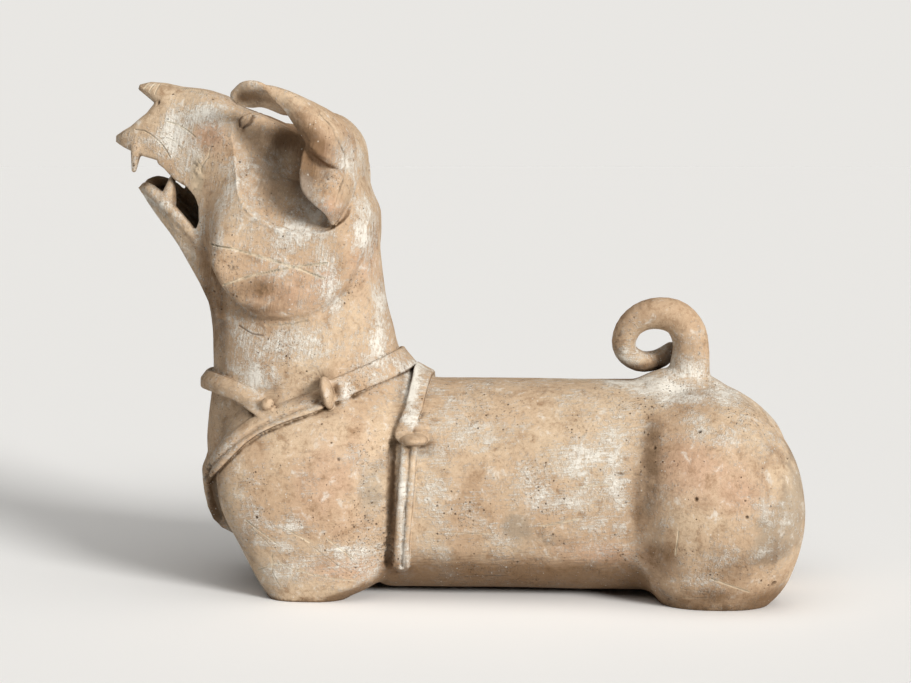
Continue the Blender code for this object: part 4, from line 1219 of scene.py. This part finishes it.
def clay_material():
    """Low-fired clay: mottled buff and pink, chalky burial deposits, stains, pits and scratches, with
    painted shade in hollow places, creases, grooves, pits, undersides and the mouth.
    """
    r = Recipe("fired clay with burial deposits")
    broad = r.noise(11.0, 4.0, 0.6, warp=0.5)
    cloud = r.noise(38.0, 9.0, 0.68, warp=0.3)
    veiled = r.noise(30.0, 10.0, 0.70, r.warped(17.0, 0.03))
    worn = r.noise(90.0, 8.0, 0.72, warp=0.4)
    fine = r.noise(330.0, 5.0, 0.62)
    grit = r.noise(1100.0, 3.0, 0.6)
    cluster = r.noise(22.0, 4.0, 0.6)
    level = r.noise(1.0, 4.0, 0.65, r.stretch((0.030, 0.004, 0.0011), (0.0, math.radians(-5), 0.0)))
    plumb = r.noise(1.0, 4.0, 0.65, r.stretch((0.0011, 0.004, 0.026), (0.0, math.radians(9), 0.0)))
    strokes = r.blend_values(r.mask("upright_strokes"), level, plumb)

    base = r.mix(r.ramp(broad, 0.36, 0.64), CLAY_BUFF, CLAY_TAN)
    rosy = r.add(r.mask("pink"), r.swing(cloud, 1.1))
    base = r.mix(r.ramp(rosy, 0.05, 0.85, 0.0, 0.8), base, CLAY_PINK)
    for grain, low, high, most in ((cloud, 0.52, 0.72, 0.55), (worn, 0.50, 0.70, 0.85),
                                   (fine, 0.46, 0.78, 0.60), (grit, 0.50, 0.74, 0.45),
                                   (strokes, 0.56, 0.80, 0.45)):
        base = r.mix(r.ramp(grain, low, high, 0.0, most), base, CLAY_BROWN)

    grey = r.add(r.mask("grey"), r.swing(cloud, 1.4))
    base = r.mix(r.ramp(grey, 0.25, 0.62, 0.0, 0.62), base, CLAY_GREY)

    veil = r.math("MULTIPLY", veiled, 0.95)
    for name, share in (("chalk", 0.34), ("raised_edge", 0.10), ("bare", -0.22)):
        veil = r.add(veil, r.math("MULTIPLY", r.mask(name), share))
    veil = r.add(veil, r.swing(fine, 0.55), r.swing(strokes, 0.45), r.swing(grit, 0.45))
    chalk = r.ramp(veil, 0.47, 0.79, 0.0, 0.90)
    base = r.mix(chalk, base, CHALK_COLOUR)
    base = r.mix(r.ramp(worn, 0.46, 0.30, 0.0, 0.60), base, CHALK_COLOUR)
    base = r.mix(r.ramp(strokes, 0.34, 0.26, 0.0, 0.30), base, CHALK_COLOUR)

    # Dark stains, and painted shade beside the breast strap
    stain_and_shade = r.add(r.mask("stain_and_shade"), r.swing(fine, 1.6))
    base = r.mix(r.ramp(stain_and_shade, 0.45, 0.95, 0.0, 0.85), base, STAIN_AND_SHADE_COLOUR)
    # Brown soil and painted shade on the listed patches and on faces that look down
    uneven = r.add(r.swing(cloud, 0.9), r.swing(strokes, 0.6))
    soil_and_shade = r.add(r.math("MAXIMUM", r.mask("underside"), r.mask("soil_and_shade")), uneven)
    base = r.mix(r.ramp(soil_and_shade, 0.15, 0.95, 0.0, 0.80), base, SOIL_AND_SHADE_COLOUR)
    # Brown soil and painted shade in the wide hollows
    hollow_soil_and_shade = r.add(r.mask("wide_hollow_soil_and_shade"), uneven)
    base = r.mix(r.ramp(hollow_soil_and_shade, 0.30, 1.0, 0.0, 0.70), base, SOIL_AND_SHADE_COLOUR)
    # Painted shade, near black, in the tight creases
    base = r.mix(r.ramp(r.mask("tight_hollow_shade"), 0.30, 0.90, 0.0, 0.88), base, CREVICE_SHADE_COLOUR)

    spotted = r.warped(600.0, 0.0011)
    gathered = r.ramp(cluster, 0.50, 0.72, 0.03, 0.62)
    pits = r.specks(360.0, 0.12, 0.42, r.math("MULTIPLY", gathered, 0.5), spotted)
    dots = r.specks(760.0, 0.15, 0.50, gathered, spotted)
    crumbs = r.specks(520.0, 0.15, 0.50, r.ramp(chalk, 0.1, 0.6, 0.02, 0.35), r.warped(500.0, 0.0013))
    base = r.mix(r.math("MULTIPLY", crumbs, 0.55), base, CHALK_COLOUR)
    # Painted shade in the small pits of the skin, which the bump also sinks
    pit_shade = r.math("MAXIMUM", r.math("MULTIPLY", pits, 0.8), r.math("MULTIPLY", dots, 0.5))
    base = r.mix(pit_shade, base, PIT_SHADE_COLOUR)
    base = r.mix(r.mask("line_fill"), base, LINE_FILL_COLOUR)
    # Painted shade in grooves, pinholes, nostrils and the shoulder joint
    base = r.mix(r.math("MULTIPLY", r.mask("line_painted_shade"), 0.8), base, PIT_SHADE_COLOUR)
    base = r.mix(r.ramp(r.mask("crust"), 0.25, 0.75, 0.0, 0.75), base, CRUST_COLOUR)
    # Painted shade, near black, deep inside the mouth
    base = r.mix(r.mask("mouth_painted_shade"), base, MOUTH_SHADE_COLOUR)
    r.put(r.shader.inputs["Base Color"], base)
    r.put(r.shader.inputs["Roughness"], r.ramp(chalk, 0.0, 1.0, 0.84, 0.97))
    r.shader.inputs["Specular IOR Level"].default_value = 0.2

    relief = r.math("SUBTRACT", chalk, r.math("MULTIPLY", r.add(pits, dots), 1.5))
    normal = None
    for grain, deep in ((cloud, 0.0010), (strokes, 0.00022), (fine, 0.0006), (grit, 0.00012),
                        (relief, 0.0004)):
        normal = r.bump(grain, deep, normal)
    r.put(r.shader.inputs["Normal"], normal)
    return r.material


def floor_material():
    """Plain pale studio floor, quite without gloss."""
    r = Recipe("pale studio floor")
    r.shader.inputs["Base Color"].default_value = (FLOOR_SHADE, FLOOR_SHADE, FLOOR_SHADE, 1.0)
    r.shader.inputs["Roughness"].default_value = 1.0
    r.shader.inputs["Specular IOR Level"].default_value = 0.0
    return r.material


def studio():
    """Floor, lights, pale surroundings and the camera."""
    mesh = bpy.data.meshes.new("studio floor")
    turns = [2 * math.pi * k / FLOOR_SIDES for k in range(FLOOR_SIDES)]
    ring = [(FLOOR_RADIUS * math.cos(turn), FLOOR_RADIUS * math.sin(turn), 0.0) for turn in turns]
    mesh.from_pydata(ring, [], [tuple(range(FLOOR_SIDES))])
    mesh.materials.append(floor_material())
    floor = bpy.data.objects.new("studio_floor", mesh)
    floor.location.z = -FLOOR_GAP
    bpy.context.scene.collection.objects.link(floor)
    floor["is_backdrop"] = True

    world = bpy.data.worlds.new("pale studio")
    bpy.context.scene.world = world
    world.use_nodes = True
    tree = world.node_tree
    lift = sum(Vector(way).normalized().z * strength / math.pi
               for name, way, strength, spread in LIGHTS)
    lit_floor = [FLOOR_SHADE * (lift * sun + FILL_LIGHT * sky)
                 for sun, sky in zip(LIGHT_COLOUR, FILL_COLOUR)]
    surroundings = tree.nodes.new("ShaderNodeMix")
    surroundings.data_type = "RGBA"
    seen = tree.nodes.new("ShaderNodeLightPath").outputs["Is Camera Ray"]
    tree.links.new(seen, surroundings.inputs["Factor"])
    surroundings.inputs["A"].default_value = [FILL_LIGHT * sky for sky in FILL_COLOUR] + [1.0]
    surroundings.inputs["B"].default_value = lit_floor + [1.0]
    tree.links.new(surroundings.outputs["Result"], tree.nodes["Background"].inputs["Color"])

    for name, way, strength, spread in LIGHTS:
        light = bpy.data.lights.new(name, "SUN")
        light.energy = strength
        light.angle = math.radians(spread)
        light.color = LIGHT_COLOUR
        lamp = bpy.data.objects.new(name.replace(" ", "_"), light)
        lamp.rotation_euler = Vector(way).to_track_quat("Z", "Y").to_euler()
        bpy.context.scene.collection.objects.link(lamp)

    eye = bpy.data.cameras.new("camera")
    eye.lens = CAMERA_LENS
    eye.sensor_width = 36.0
    eye.clip_end = 100.0
    camera = bpy.data.objects.new("camera", eye)
    camera.location = CAMERA_PLACE
    view = Vector(CAMERA_AIM) - Vector(CAMERA_PLACE)
    camera.rotation_euler = view.to_track_quat("-Z", "Y").to_euler()
    bpy.context.scene.collection.objects.link(camera)
    bpy.context.scene.camera = camera
    bpy.context.scene.view_settings.view_transform = "Standard"


dog = model_dog()
fit_to_box(dog.data)
dog.data.materials.append(clay_material())
for face in dog.data.polygons:
    face.use_smooth = True
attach(dog, "root")
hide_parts("guardian_dog")
studio()

finished_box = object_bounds()
boxes = {"cad": cad_box, "visual": finished_box}
{name: [list(corner) for corner in box] for name, box in boxes.items()}
